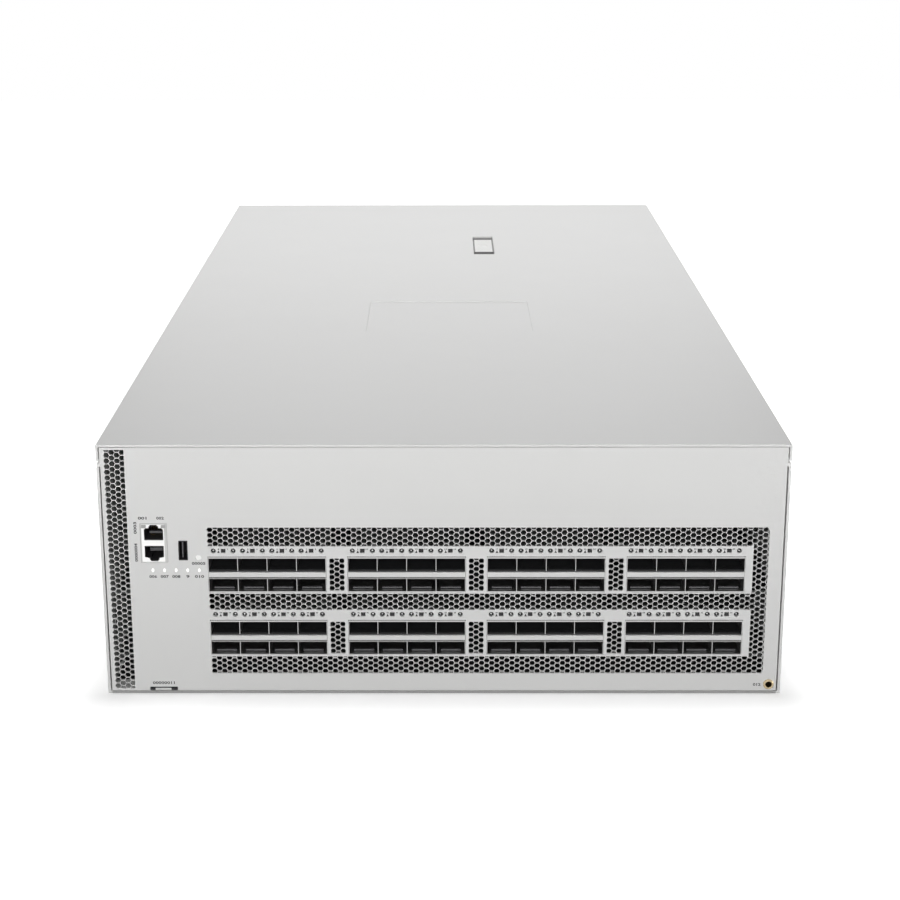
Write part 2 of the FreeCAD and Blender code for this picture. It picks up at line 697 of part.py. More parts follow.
sub_part(group(standoffs), "board_standoffs")

sub_part(box("chip_x - chip_size / 2", "chip_y - chip_size / 2", "cage_low", "chip_size", "chip_size",
             "chip_height"), "switch_chip")
sink_left = "(chip_x - sink_width / 2)"
sink_low = "(cage_low + chip_height)"
sink_parts = [box(sink_left, "chip_y - sink_length / 2", sink_low, "sink_width", "sink_length", "sink_base")]
fin_count = int((size("sink_width") - size("fin_gauge")) / size("fin_pitch")) + 1
first_fin = f"({sink_left} + (sink_width - {fin_count - 1} * fin_pitch - fin_gauge) / 2)"
for i in range(fin_count):
    sink_parts.append(box(f"{first_fin} + {i} * fin_pitch", "chip_y - sink_length / 2", sink_low, "fin_gauge",
                          "sink_length", "sink_height"))
sub_part(fuse(sink_parts), "switch_heat_sink")

CONTROL_TOP = "(cage_low + control_lift + board_gauge)"
control_board = board(CONTROL_TOP, CONTROL_LEFT, CONTROL_FRONT, "control_width", "control_length")
sub_part(control_board, "control_board")
control_middle_x = f"({CONTROL_LEFT} + control_width / 2)"
control_middle_y = f"({CONTROL_FRONT} + control_length / 2)"
control_fins = int(size("control_sink_size") / size("fin_pitch"))
control_sink_x = f"({control_middle_x} - control_sink_size / 2)"
control_sink_y = f"({control_middle_y} - control_sink_size / 2)"
control_sink = [box(control_sink_x, control_sink_y, CONTROL_TOP, "control_sink_size", "control_sink_size",
                    "sink_base")]
for i in range(control_fins):
    control_sink.append(box(f"{control_sink_x} + {i} * fin_pitch", control_sink_y, CONTROL_TOP, "fin_gauge",
                            "control_sink_size", "control_sink_height"))
sub_part(fuse(control_sink), "control_heat_sink")

# Console corner: a small board behind the panel carries the jack, bus socket, switch and lights
sub_part(board("jack_low", CONSOLE_BOARD_LEFT, "board_front", "console_board_width",
               "console_board_length", gauge="console_board_gauge"), "console_board")


def jack_cell(low, tab_low):
    """One mouth of the stacked jack with the notch for the plug's tab."""
    mouth = box(f"{JACK_LEFT} + (jack_width - jack_mouth_width) / 2", "0", f"jack_low + {low}",
                "jack_mouth_width", "jack_mouth_depth", "jack_mouth_height")
    tab = box(f"{JACK_LEFT} + (jack_width - jack_tab_width) / 2", "0", f"jack_low + {tab_low}",
              "jack_tab_width", "jack_mouth_depth", "jack_tab_height")
    return fuse([mouth, tab])


jack_shell = cut(
    box(JACK_LEFT, "0", "jack_low", "jack_width", "jack_depth", "jack_height"),
    [box(f"{JACK_LEFT} + jack_shield", "-jack_shield", "jack_low + jack_shield", "jack_width - 2 * jack_shield",
         "jack_depth", "jack_height - 2 * jack_shield")],
)
sub_part(jack_shell, "console_jack_shield")
jack_block = box(f"{JACK_LEFT} + jack_shield", "jack_shield", "jack_low + jack_shield",
                 "jack_width - 2 * jack_shield", "jack_depth - 2 * jack_shield", "jack_height - 2 * jack_shield")
jack_mouths = [
    jack_cell("jack_upper_low", "jack_upper_low + jack_mouth_height"),
    jack_cell("jack_lower_low", "jack_lower_low - jack_tab_height"),
]
sub_part(cut(jack_block, jack_mouths), "console_jack_insert")

bus_shell = cut(
    box(BUS_LEFT, "0", "bus_low", "bus_width", "bus_depth", "bus_height"),
    [box(f"{BUS_LEFT} + bus_shell", "-bus_shell", "bus_low + bus_shell", "bus_width - 2 * bus_shell",
         "bus_depth + 3 * bus_shell", "bus_height - 2 * bus_shell")],
)
sub_part(bus_shell, "bus_socket_shell")
bus_tongue = fuse([
    box(f"{BUS_LEFT} + (bus_width - tongue_width) / 2", "4 * bus_shell", "bus_low + 3 * bus_shell",
        "tongue_width", "bus_depth", "bus_height - 6 * bus_shell"),
    box(BUS_LEFT, "bus_depth", "jack_low", "bus_width", "4 * bus_shell", "bus_height + bus_low - jack_low"),
])
sub_part(bus_tongue, "bus_socket_tongue")

button = fuse([
    rod(RESET_X, "reset_sunk", "reset_z", "reset_radius", "reset_length"),
    box(f"{RESET_X} - reset_collar", "panel_gauge + seam", "reset_z - reset_collar", "2 * reset_collar",
        "panel_gauge", "2 * reset_collar"),
])
sub_part(button, "reset_button")
SWITCH_FRONT = "(reset_sunk + reset_length + reset_travel + seam)"
sub_part(box(f"{RESET_X} - reset_collar", SWITCH_FRONT, "jack_low", "2 * reset_collar", "reset_length",
             "reset_z - jack_low + reset_radius"), "reset_switch")

light_bar = box(f"{LIGHT_FIRST} - 2 * light_radius", "panel_gauge + seam", "light_z - 2 * light_radius",
                "4 * light_pitch + 4 * light_radius", "4 * light_radius",
                f"{CONSOLE_LOW} - light_z + 2 * light_radius")
light_tips = [
    prism(f"{LIGHT_FIRST} + {i} * light_pitch", "0", "light_z", "light_radius", "panel_gauge + seam", sides=8)
    for i in range(5)
]
sub_part(fuse([light_bar] + light_tips), "status_light_pipe")

# Earthing jack: a turned brass bush for a 4 mm plug, with a hexagon nut run up behind the panel
ground_bush = cut(
    fuse([
        rod(GROUND_X, "-ground_rim_proud", "ground_z", "ground_rim_radius", "ground_rim_proud"),
        rod(GROUND_X, "-ground_rim_proud", "ground_z", "ground_barrel_radius", "ground_barrel_length"),
        prism(GROUND_X, "panel_gauge", "ground_z", "ground_nut_radius", "ground_nut_thickness"),
    ]),
    [rod(GROUND_X, "-ground_rim_proud", "ground_z", "ground_plug_radius", "ground_barrel_length")],
)
sub_part(ground_bush, "ground_jack")

# Pull-out tag in a flat sleeve on the floor, seen through the notch in the panel's lower edge
tag_sleeve = cut(
    box(f"{TAG_LEFT} - tag_sleeve_wall", "panel_gauge + seam", "sheet_gauge", "tag_width + 2 * tag_sleeve_wall",
        "tag_length", "2 * (tag_sleeve_wall + tag_clearance) + tag_thickness"),
    [box(TAG_LEFT, "0", "sheet_gauge + tag_sleeve_wall", "tag_width", "tag_length + 2 * panel_gauge",
         "tag_thickness + 2 * tag_clearance")],
)
sub_part(tag_sleeve, "tag_sleeve")
TAG_HALF_GAP = "(tag_width - tag_pull_width) / 2"
tag = fuse([
    box(f"{TAG_LEFT} + tag_clearance", "panel_gauge", TAG_LOW, "tag_width - 2 * tag_clearance",
        "tag_length - 3 * tag_clearance", "tag_thickness"),
    box(f"{TAG_LEFT} + {TAG_HALF_GAP}", "0", f"{PANEL_LOW} + tag_clearance", "tag_pull_width",
        "panel_gauge", "tag_notch_height - 2 * tag_clearance"),
])
sub_part(tag, "asset_tag")

# Rear panel: the end wall with four windows for fan modules and four notches for power supplies
FAN_WINDOW_WIDTH = f"({FAN_WIDTH} + 2 * fan_window_margin)"
rear_cuts = []
for i in range(4):
    middle = f"({i} - 1.5) * {MODULE_PITCH}"
    rear_cuts.append(box(f"{middle} - {FAN_WINDOW_WIDTH} / 2", "case_depth - 2 * panel_gauge", SHELF_TOP,
                         FAN_WINDOW_WIDTH, "3 * panel_gauge",
                         f"{FAN_HEIGHT} + slide_clearance + fan_window_margin"))
    rear_cuts.append(box(f"{middle} - supply_width / 2 - supply_window_margin",
                         "case_depth - 2 * panel_gauge", "0", "supply_width + 2 * supply_window_margin",
                         "3 * panel_gauge", f"{SUPPLY_LOW} + supply_height + supply_window_margin"))
rear_plate = box(f"-{PANEL_HALF}", "case_depth - panel_gauge", PANEL_LOW, f"2 * {PANEL_HALF}", "panel_gauge",
                 f"{PANEL_TOP} - {PANEL_LOW}")
rear_flanges = [
    box(f"-{PANEL_HALF} + return_flange", "case_depth - panel_gauge - return_flange",
        f"{PANEL_TOP} - panel_gauge", f"2 * ({PANEL_HALF} - return_flange)", "panel_gauge + return_flange",
        "panel_gauge"),
]
for x in (f"-{PANEL_HALF}", f"{PANEL_HALF} - panel_gauge"):
    rear_flanges.append(box(x, "case_depth - panel_gauge - return_flange", f"{SHELF_TOP} + return_flange",
                            "panel_gauge", "panel_gauge + return_flange",
                            f"{FLANGE_HIGH} - {SHELF_TOP} - return_flange"))
sub_part(cut(fuse([rear_plate] + rear_flanges), rear_cuts), "rear_panel")

# Shelf between the fan modules and the power supplies, its edges turned up against the walls
SHELF_HALF = "(case_width / 2 - sheet_gauge - seam)"
SHELF_BACK = "(case_depth - panel_gauge - seam)"
shelf = fuse([
    box(f"-{SHELF_HALF}", f"{SHELF_BACK} - shelf_length", "shelf_low", f"2 * {SHELF_HALF}", "shelf_length",
        "shelf_gauge"),
    box(f"-{SHELF_HALF}", f"{SHELF_BACK} - shelf_length", "shelf_low", "shelf_gauge",
        "shelf_length - return_flange - seam", "shelf_flange"),
    box(f"{SHELF_HALF} - shelf_gauge", f"{SHELF_BACK} - shelf_length", "shelf_low", "shelf_gauge",
        "shelf_length - return_flange - seam", "shelf_flange"),
])
sub_part(shelf, "bay_shelf")
bay_guides = [
    box(f"({i} - 1) * {MODULE_PITCH} - guide_gauge / 2", f"{SHELF_BACK} - fan_length", SHELF_TOP, "guide_gauge",
        "fan_length", f"{PANEL_TOP} - {SHELF_TOP} - return_flange / 2")
    for i in range(3)
]
for i in range(4):
    for side in (-1, 1):
        inner = f"({i} - 1.5) * {MODULE_PITCH} + {side} * (supply_width / 2 + slide_clearance)"
        left = inner if side > 0 else f"{inner} - guide_gauge"
        bay_guides.append(box(left, f"{SHELF_BACK} - supply_length", "sheet_gauge", "guide_gauge",
                              "supply_length", "guide_height"))
sub_part(group(bay_guides), "bay_guides")

# The two boards that the modules plug into, each with its sockets
FAN_INNER = "(case_depth - fan_length)"
FAN_SOCKET_Y = f"({FAN_INNER} - fan_plug_length - slide_clearance)"
fan_board_windows = [
    box(f"({i} - 1.5) * {MODULE_PITCH} - {FAN_BORE}", f"{FAN_SOCKET_Y} - 2 * fan_plug_length - board_gauge",
        f"{FAN_AXIS_Z} - {FAN_BORE}", f"2 * {FAN_BORE}", "4 * fan_plug_length", f"2 * {FAN_BORE}")
    for i in range(4)
]
FAN_BOARD_Y = f"({FAN_SOCKET_Y} - fan_plug_length)"
fan_board = cut(
    box(f"-{BOARD_EDGE}", f"{FAN_BOARD_Y} - board_gauge", SHELF_TOP, f"2 * {BOARD_EDGE}", "board_gauge",
        FAN_HEIGHT),
    fan_board_windows,
)
fan_sockets = [
    box(f"({i} - 1.5) * {MODULE_PITCH} - fan_plug_width / 2", FAN_BOARD_Y, FAN_LOW, "fan_plug_width",
        "fan_plug_length", "fan_plug_height")
    for i in range(4)
]
sub_part(fuse([fan_board] + fan_sockets), "fan_backplane")
power_board = box(f"-{BOARD_EDGE}", f"{SUPPLY_BOARD_Y} - board_gauge", "sheet_gauge", f"2 * {BOARD_EDGE}",
                  "board_gauge", "shelf_low - sheet_gauge")
power_sockets = [
    box(f"({i} - 1.5) * {MODULE_PITCH} - fan_plug_width", SUPPLY_BOARD_Y,
        "supply_height / 2 - fan_plug_height", "2 * fan_plug_width", "fan_plug_length", "2 * fan_plug_height")
    for i in range(4)
]
sub_part(fuse([power_board] + power_sockets), "power_backplane")


# Fan modules: a ducted frame with a guard, motor seat, spindle, plug and pull handle, and a rotor.
# Their round forms have flat sides, which keeps four modules light.
ROUND_SIDES = 20


def fan_frame(middle):
    duct = cut(
        box(f"{middle} - {FAN_WIDTH} / 2", FAN_INNER, FAN_LOW, FAN_WIDTH, f"{FACE_FRONT} - {FAN_INNER}",
            FAN_HEIGHT),
        [prism(middle, FAN_INNER, FAN_AXIS_Z, FAN_BORE, f"{FACE_BACK} - {FAN_INNER} - guard_wall",
               sides=ROUND_SIDES)],
    )
    face = box(f"{middle} - {FACE_WIDTH} / 2", FACE_FRONT, f"{FAN_LOW} - face_lip_z + seam", FACE_WIDTH,
               "face_gauge", f"{FAN_HEIGHT} + 2 * face_lip_z")
    slots = []
    for k in range(-2, 3):
        rise = f"({k} * ({GUARD_SLOT} + guard_bar))"
        half = f"sqrt(pow({FAN_BORE}; 2) - pow(abs({rise}) + {GUARD_SLOT} / 2; 2))"
        low = f"{FAN_AXIS_Z} + {rise} - {GUARD_SLOT} / 2"
        start = f"{FACE_BACK} - 2 * guard_wall"
        if abs(k) < 2:
            for side in (f"{middle} - {half}", f"{middle} + motor_radius"):
                slots.append(box(side, start, low, f"{half} - motor_radius", "3 * guard_wall",
                                 GUARD_SLOT))
        else:
            slots.append(box(f"{middle} - {half}", start, low, f"2 * {half}", "3 * guard_wall",
                             GUARD_SLOT))
    guarded = cut(fuse([duct, face]), slots)
    guard_inner = f"({FACE_BACK} - guard_wall)"
    motor = prism(middle, f"{guard_inner} - motor_length", FAN_AXIS_Z, "motor_radius", "motor_length",
                  sides=ROUND_SIDES)
    spindle = rod(middle, f"{guard_inner} - motor_length - shaft_length", FAN_AXIS_Z, "shaft_radius",
                  "shaft_length")
    posts = [
        box(x, FACE_BACK, f"{FAN_LOW} + seam", "handle_bar", f"{HANDLE_BACK} - {FACE_BACK}", "handle_bar")
        for x in (f"{middle} - {FAN_HANDLE_WIDTH} / 2", f"{middle} + {FAN_HANDLE_WIDTH} / 2 - handle_bar")
    ]
    grip = box(f"{middle} - {FAN_HANDLE_WIDTH} / 2", f"{HANDLE_BACK} - handle_bar", f"{FAN_LOW} + seam",
               FAN_HANDLE_WIDTH, "handle_bar", "handle_bar")
    plug = box(f"{middle} - fan_plug_width / 2", f"{FAN_INNER} - fan_plug_length", FAN_LOW, "fan_plug_width",
               "fan_plug_length", "fan_plug_height")
    return fuse([guarded, motor, spindle, plug, grip] + posts)


HUB_BACK = f"({FACE_BACK} - guard_wall - motor_length - seam)"


def fan_rotor(middle):
    hub = prism(middle, f"{HUB_BACK} - hub_length", FAN_AXIS_Z, "hub_radius", "hub_length", sides=ROUND_SIDES)
    blades = []
    for i in range(int(size("blade_count"))):
        blade = document.addObject("Part::Box", "Blade")
        bind(blade, Length="blade_gauge", Width="blade_chord",
             Height=f"{FAN_BORE} - blade_tip_gap - hub_radius / 2")
        turn = FreeCAD.Rotation(FreeCAD.Vector(0, 1, 0), i * 360 / size("blade_count"))
        pitched = FreeCAD.Rotation(FreeCAD.Vector(0, 0, 1), size("blade_pitch_angle"))
        blade.Placement.Rotation = turn.multiply(pitched)
        to_middle = FreeCAD.Vector(-size("blade_gauge") / 2, -size("blade_chord") / 2, 0)
        root = FreeCAD.Vector(0, 0, size("hub_radius") / 2)
        offset = turn.multVec(pitched.multVec(to_middle) + root)
        place(blade, f"{middle} + {offset.x}", f"{HUB_BACK} - hub_length / 2 + {offset.y}",
              f"{FAN_AXIS_Z} + {offset.z}")
        blades.append(blade)
    bore = rod(middle, f"{HUB_BACK} - shaft_length", FAN_AXIS_Z, "shaft_radius + pin_clearance",
               "shaft_length")
    return cut(fuse([hub] + blades), [bore])


# Power supplies: a closed case with an inlet, slots, a loop handle and a sliding release catch
RELEASE_LOW = f"({SUPPLY_LOW} + (supply_height - release_height) / 2)"


def power_supply(middle):
    case = box(f"{middle} - supply_width / 2", SUPPLY_FRONT, SUPPLY_LOW, "supply_width",
               "supply_length + supply_proud", "supply_height")
    inlet = box(f"{middle} + inlet_left", f"{SUPPLY_BACK} - inlet_depth", f"{SUPPLY_LOW} + inlet_low",
                "inlet_width", "inlet_depth", "inlet_height")
    slots = [
        box(f"{middle} + supply_slot_first + {i} * supply_slot_pitch", f"{SUPPLY_BACK} - supply_slot_depth",
            f"{SUPPLY_LOW} + (supply_height - supply_slot_height) / 2", "supply_slot_width", "supply_slot_depth",
            "supply_slot_height")
        for i in range(4)
    ]
    catch_slot = box(f"{middle} + release_x - release_travel - slide_clearance",
                     f"{SUPPLY_BACK} - release_seat", f"{RELEASE_LOW} - slide_clearance",
                     "release_width + release_travel + 2 * slide_clearance",
                     "release_seat", "release_height + 2 * slide_clearance")
    handle_x = f"{middle} + supply_handle_x"
    handle_low = f"{SUPPLY_LOW} + (supply_height - supply_handle_height) / 2"
    posts = [
        box(handle_x, SUPPLY_BACK, z, "supply_handle_bar", f"{HANDLE_BACK} - {SUPPLY_BACK}",
            "supply_handle_bar")
        for z in (handle_low, f"{handle_low} + supply_handle_height - supply_handle_bar")
    ]
    grip = box(handle_x, f"{HANDLE_BACK} - supply_handle_bar", handle_low, "supply_handle_bar",
               "supply_handle_bar", "supply_handle_height")
    plug = box(f"{middle} - fan_plug_width", f"{SUPPLY_FRONT} - fan_plug_length",
               "supply_height / 2 - fan_plug_height", "2 * fan_plug_width", "fan_plug_length",
               "2 * fan_plug_height")
    return fuse([cut(case, [inlet, catch_slot] + slots), grip, plug] + posts)


def release_catch(middle):
    """A thumb piece that slides towards the handle in a slot of the case's end."""
    foot = box(f"{middle} + release_x", f"{SUPPLY_BACK} - release_seat + slide_clearance", RELEASE_LOW,
               "release_width", "release_seat", "release_height")
    paddle = box(f"{middle} + release_x", SUPPLY_BACK, RELEASE_LOW, "release_width / 2", "release_length",
                 "release_height")
    return fuse([foot, paddle])


for i in range(4):
    middle = f"({i} - 1.5) * {MODULE_PITCH}"
    sub_part(fan_frame(middle), f"fan_frame_{i + 1}")
    sub_part(fan_rotor(middle), f"fan_rotor_{i + 1}")
    sub_part(power_supply(middle), f"power_supply_{i + 1}")
    sub_part(release_catch(middle), f"supply_release_{i + 1}")

document.recompute()
for item in document.Objects:
    if "Invalid" in item.State or "Error" in item.State:
        raise RuntimeError(f"{item.Name} ({item.Label}) did not build: {item.State}")
os.makedirs("parts", exist_ok=True)
for feature in sub_parts:
    if feature.Shape.isNull() or not feature.Shape.isValid():
        raise RuntimeError(f"{feature.Label} has no valid shape")
    feature.Shape.exportStep(f"parts/{feature.Label}.step")
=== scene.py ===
# Data center switch, four rack units high. Metres, +Z up, the port side looks along -Y.
import math

import bmesh
import bpy
from mathutils import Matrix, Vector
from mathutils.geometry import delaunay_2d_cdt


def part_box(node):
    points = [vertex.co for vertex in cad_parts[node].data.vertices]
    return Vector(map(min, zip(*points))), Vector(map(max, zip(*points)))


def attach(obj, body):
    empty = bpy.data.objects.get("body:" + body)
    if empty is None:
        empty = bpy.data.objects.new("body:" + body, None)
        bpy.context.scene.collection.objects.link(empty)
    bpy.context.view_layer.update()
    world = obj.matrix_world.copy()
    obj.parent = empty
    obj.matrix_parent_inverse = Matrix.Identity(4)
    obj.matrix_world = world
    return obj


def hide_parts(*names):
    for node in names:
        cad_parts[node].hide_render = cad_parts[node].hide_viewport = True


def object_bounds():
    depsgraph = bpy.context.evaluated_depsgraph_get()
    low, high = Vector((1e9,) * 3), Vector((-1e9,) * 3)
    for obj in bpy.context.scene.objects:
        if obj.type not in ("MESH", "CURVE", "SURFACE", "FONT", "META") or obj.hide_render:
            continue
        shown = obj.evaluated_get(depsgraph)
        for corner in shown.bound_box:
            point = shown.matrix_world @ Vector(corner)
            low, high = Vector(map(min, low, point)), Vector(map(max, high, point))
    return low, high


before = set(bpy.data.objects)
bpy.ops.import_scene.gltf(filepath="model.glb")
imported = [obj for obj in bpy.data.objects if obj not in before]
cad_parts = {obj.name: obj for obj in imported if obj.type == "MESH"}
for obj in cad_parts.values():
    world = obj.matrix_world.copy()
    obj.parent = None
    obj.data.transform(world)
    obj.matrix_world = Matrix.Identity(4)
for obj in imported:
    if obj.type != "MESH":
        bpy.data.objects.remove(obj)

MM = 0.001
cad_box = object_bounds()


# The view: a long lens a metre before the panel and half a metre up, looking slightly down. EYE is its
# place in millimetres from the panel's face. Its principal point is off the picture's middle, which the
# two shifts take in.
PHOTO_WIDTH = 900
FOCAL_PIXELS = 1680.9
PRINCIPAL_X = 432.5
PRINCIPAL_Y = 301.5
SENSOR = 36
EYE = (-0.8, -1003.2, 523.4)
face_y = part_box("front_panel")[0].y
yaw, pitch, roll = math.radians(-0.335), math.radians(14.433), math.radians(0.148)
lens = bpy.data.cameras.new("view")
lens.sensor_width = SENSOR
lens.lens = FOCAL_PIXELS * SENSOR / PHOTO_WIDTH
lens.shift_x = 0.5 - PRINCIPAL_X / PHOTO_WIDTH
lens.shift_y = PRINCIPAL_Y / PHOTO_WIDTH - 0.5
lens.clip_start = 0.05
camera = bpy.data.objects.new("view", lens)
camera.matrix_world = (Matrix.Rotation(-yaw, 4, "Z") @ Matrix.Rotation(math.pi / 2 - pitch, 4, "X")
                       @ Matrix.Rotation(-roll, 4, "Z"))
camera.location = (EYE[0] * MM, face_y + EYE[1] * MM, EYE[2] * MM)
link = bpy.context.collection.objects.link
link(camera)
scene = bpy.context.scene
scene.camera = camera
scene.view_settings.view_transform = "Standard"


def linear(colour):
    """An sRGB hex colour as the linear values that a shader takes."""
    parts = [int(colour[i:i + 2], 16) / 255 for i in (1, 3, 5)]
    return tuple(v / 12.92 if v <= 0.04045 else ((v + 0.055) / 1.055) ** 2.4 for v in parts) + (1,)


def add(tree, kind, inputs=None, **settings):
    """Add one shader node. Its inputs are values, or the sockets that feed them."""
    item = tree.nodes.new("ShaderNode" + kind)
    for name, value in settings.items():
        setattr(item, name, value)
    for name, value in (inputs or {}).items():
        if isinstance(value, bpy.types.NodeSocket):
            tree.links.new(value, item.inputs[name])
        else:
            item.inputs[name].default_value = value
    return item


def empty_material(name):
    """A material with no nodes but its output."""
    material = bpy.data.materials.new(name)
    material.use_nodes = True
    material.node_tree.nodes.clear()
    return material, material.node_tree, add(material.node_tree, "OutputMaterial")


def seen_rays(tree, *kinds):
    """1 for light rays of these kinds, and 0 for the rest."""
    rays = add(tree, "LightPath")
    seen = rays.outputs[kinds[0]]
    for kind in kinds[1:]:
        seen = add(tree, "Math", {0: seen, 1: rays.outputs[kind]}, operation="MAXIMUM").outputs[0]
    return seen


# The studio: a white floor and white surroundings, a lamp over the back of the case, one above the
# camera, one behind and a low strip at each side. The floor shows as white and takes the soft
# shadow of the case, and its glow is dimmed near the foot of the case as painted shadow.
FLOOR_SIZE = 5
FLOOR_WHITE = "#e6e6e6"
ROOM_LIGHT = 0.1
# The floor's own glow, at metres from the foot of the case: dimmed near the case as painted shadow
FLOOR_GLOW_WITH_PAINTED_SHADOW = {0: 0.36, 0.03: 0.76, 0.08: 0.93, 1: 1.0}
floor_mesh = bpy.data.meshes.new("studio_floor")
half = FLOOR_SIZE / 2
floor_corners = [(-half, -half, 0), (half, -half, 0), (half, half, 0), (-half, half, 0)]
floor_mesh.from_pydata(floor_corners, [], [(0, 1, 2, 3)])
floor = bpy.data.objects.new("studio_floor", floor_mesh)
link(floor)
matt_white, tree, out = empty_material("matt_white_floor")
seen = seen_rays(tree, "Is Camera Ray", "Is Glossy Ray")
spread_out = add(tree, "VectorMath", {0: add(tree, "TexCoord").outputs["Object"]}, operation="ABSOLUTE")
outside = add(tree, "VectorMath", {0: spread_out.outputs["Vector"], 1: (cad_box[1][0], cad_box[1][1], 0)},
              operation="SUBTRACT")
outside = add(tree, "VectorMath", {0: outside.outputs["Vector"], 1: (0, 0, 0)}, operation="MAXIMUM")
reach = add(tree, "VectorMath", {0: outside.outputs["Vector"]}, operation="LENGTH")
painted_shadow_ramp = add(tree, "ValToRGB", {"Fac": reach.outputs["Value"]})
for place in list(FLOOR_GLOW_WITH_PAINTED_SHADOW)[1:-1]:
    painted_shadow_ramp.color_ramp.elements.new(place)
for stop, strength in zip(painted_shadow_ramp.color_ramp.elements, FLOOR_GLOW_WITH_PAINTED_SHADOW.values()):
    stop.color = (strength, strength, strength, 1)
glow = add(tree, "Emission", {"Color": painted_shadow_ramp.outputs["Color"]})
matt = add(tree, "BsdfDiffuse", {"Color": linear(FLOOR_WHITE)})
lit = add(tree, "AddShader", {0: matt.outputs[0], 1: glow.outputs[0]})
mixed = add(tree, "MixShader", {0: seen, 1: matt.outputs[0], 2: lit.outputs[0]})
tree.links.new(mixed.outputs[0], out.inputs["Surface"])
floor_mesh.materials.append(matt_white)

world = bpy.data.worlds.new("white_studio")
world.use_nodes = True
world.node_tree.nodes.clear()
tree = world.node_tree
seen = seen_rays(tree, "Is Camera Ray", "Is Glossy Ray", "Is Transmission Ray")
cast = add(tree, "Background", {"Color": (1, 1, 1, 1), "Strength": ROOM_LIGHT})
shown = add(tree, "Background", {"Color": (1, 1, 1, 1)})
mixed = add(tree, "MixShader", {0: seen, 1: cast.outputs[0], 2: shown.outputs[0]})
out = add(tree, "OutputWorld")
tree.links.new(mixed.outputs[0], out.inputs["Surface"])
scene.world = world


def softbox(name, place, target, width, height, power, spread=180):
    """A rectangular lamp. spread is the angle, in degrees, that its grid lets through."""
    lamp = bpy.data.lights.new(name, "AREA")
    lamp.shape = "RECTANGLE"
    lamp.size = width
    lamp.size_y = height
    lamp.energy = power
    lamp.spread = math.radians(spread)
    item = bpy.data.objects.new(name, lamp)
    item.location = place
    item.rotation_euler = (Vector(target) - Vector(place)).to_track_quat("-Z", "Y").to_euler()
    link(item)


# Places and sizes in metres, and powers in watts
softbox("overhead_softbox", (0, 0.35, 1.6), (0, 0.35, 0), 1.6, 1.0, 1.9, 60)
softbox("front_softbox", (0, -1.6, 0.6), (0, -0.4, 0.27), 1.6, 0.4, 3.0, 50)
softbox("rear_softbox", (0, 2.0, 1.2), (0, 0.4, 0.1), 1.6, 1.0, 12)
softbox("left_softbox", (-1.8, 0, 0.16), (0, 0, 0.16), 1.6, 0.3, 10)
softbox("right_softbox", (1.8, 0, 0.16), (0, 0, 0.16), 1.6, 0.3, 10)


# Base: floor and side walls folded from one sheet of steel, powder coated in a light warm grey.
# The coat is satin, with the faint orange peel of sprayed and baked powder, and soft at each bend.
CHASSIS = "chassis"
BEND = 0.9
CUT_EDGE = 0.25
CREASE = math.radians(35)


def metre_scale(millimetres):
    """The scale of a texture whose features measure so many millimetres."""
    return 1 / (millimetres * MM)


def surface(name, tones, rough, grain, bump=None, relief=None, ends=(0, 1), shader=None, kind="TexNoise",
            **settings):
    """A material from its tones and its roughness, or the two ends of it, which follow one grain.

    A grain is a size in millimetres, a detail and a stretch. The bump, of a strength and a depth in
    millimetres, follows it too, or has a relief as a grain of its own.
    """
    material, tree, out = empty_material(name)
    place = add(tree, "TexCoord").outputs["Object"]
    drawn = []
    for size, detail, *stretch in [grain] + ([relief] if relief else []):
        spread = add(tree, "Mapping", {"Vector": place, "Scale": stretch or (1, 1, 1)}).outputs["Vector"]
        pattern = {"Vector": spread, "Scale": metre_scale(size), "Detail": detail}
        drawn.append(add(tree, kind, pattern, **settings).outputs[0])
    inputs = {"Base Color": linear(tones[0]), "Roughness": rough} | (shader or {})
    if len(tones) > 1:
        tone = add(tree, "ValToRGB", {"Fac": drawn[0]})
        for stop, end, colour in zip(tone.color_ramp.elements, ends, tones):
            stop.position = end
            stop.color = linear(colour)
        inputs["Base Color"] = tone.outputs["Color"]
    if isinstance(rough, tuple):
        polish = add(tree, "MapRange", {"Value": drawn[0], "To Min": rough[0], "To Max": rough[1]})
        inputs["Roughness"] = polish.outputs["Result"]
    if bump:
        height = add(tree, "Bump", {"Height": drawn[-1], "Strength": bump[0], "Distance": bump[1] * MM})
        inputs["Normal"] = height.outputs["Normal"]
    tree.links.new(add(tree, "BsdfPrincipled", inputs).outputs[0], out.inputs["Surface"])
    return material


def mm_box(node):
    """The lowest and highest corners of a CAD node at rest, in millimetres."""
    low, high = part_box(node)
    return low / MM, high / MM


def as_piece(name, shape, material, body, stands_for=(), ease=0, scale=MM):
    """Turn a shape into a piece on its body, its edges eased by a radius in millimetres."""
    bmesh.ops.recalc_face_normals(shape, faces=shape.faces)
    mesh = bpy.data.meshes.new(name)
    shape.to_mesh(mesh)
    shape.free()
    mesh.transform(Matrix.Scale(scale, 4))
    mesh.materials.append(material)
    mesh.shade_smooth()
    mesh.set_sharp_from_angle(angle=CREASE)
    piece = bpy.data.objects.new(name, mesh)
    link(piece)
    if ease:
        eased = piece.modifiers.new("eased_edges", "BEVEL")
        eased.width = ease * MM
        eased.segments = 2
        eased.angle_limit = CREASE
        eased.harden_normals = True
        if "bevel_weight_edge" in mesh.attributes:
            eased.limit_method = "WEIGHT"
    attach(piece, body)
    if stands_for:
        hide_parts(*stands_for)
    return piece


def eased_copy(name, node, material, body, ease, share=None):
    """A CAD node's own form with its sharp edges eased. share gives each edge its part of the radius."""
    shape = bmesh.new()
    shape.from_mesh(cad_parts[node].data)
    bmesh.ops.remove_doubles(shape, verts=shape.verts, dist=0.001 * MM)
    bmesh.ops.dissolve_limit(shape, angle_limit=math.radians(1), verts=shape.verts, edges=shape.edges)
    if share:
        weights = shape.edges.layers.float.new("bevel_weight_edge")
        for edge in shape.edges:
            if edge.is_manifold and edge.calc_face_angle() > CREASE:
                edge[weights] = share(edge)
    return as_piece(name, shape, material, body, [node], ease, scale=1)


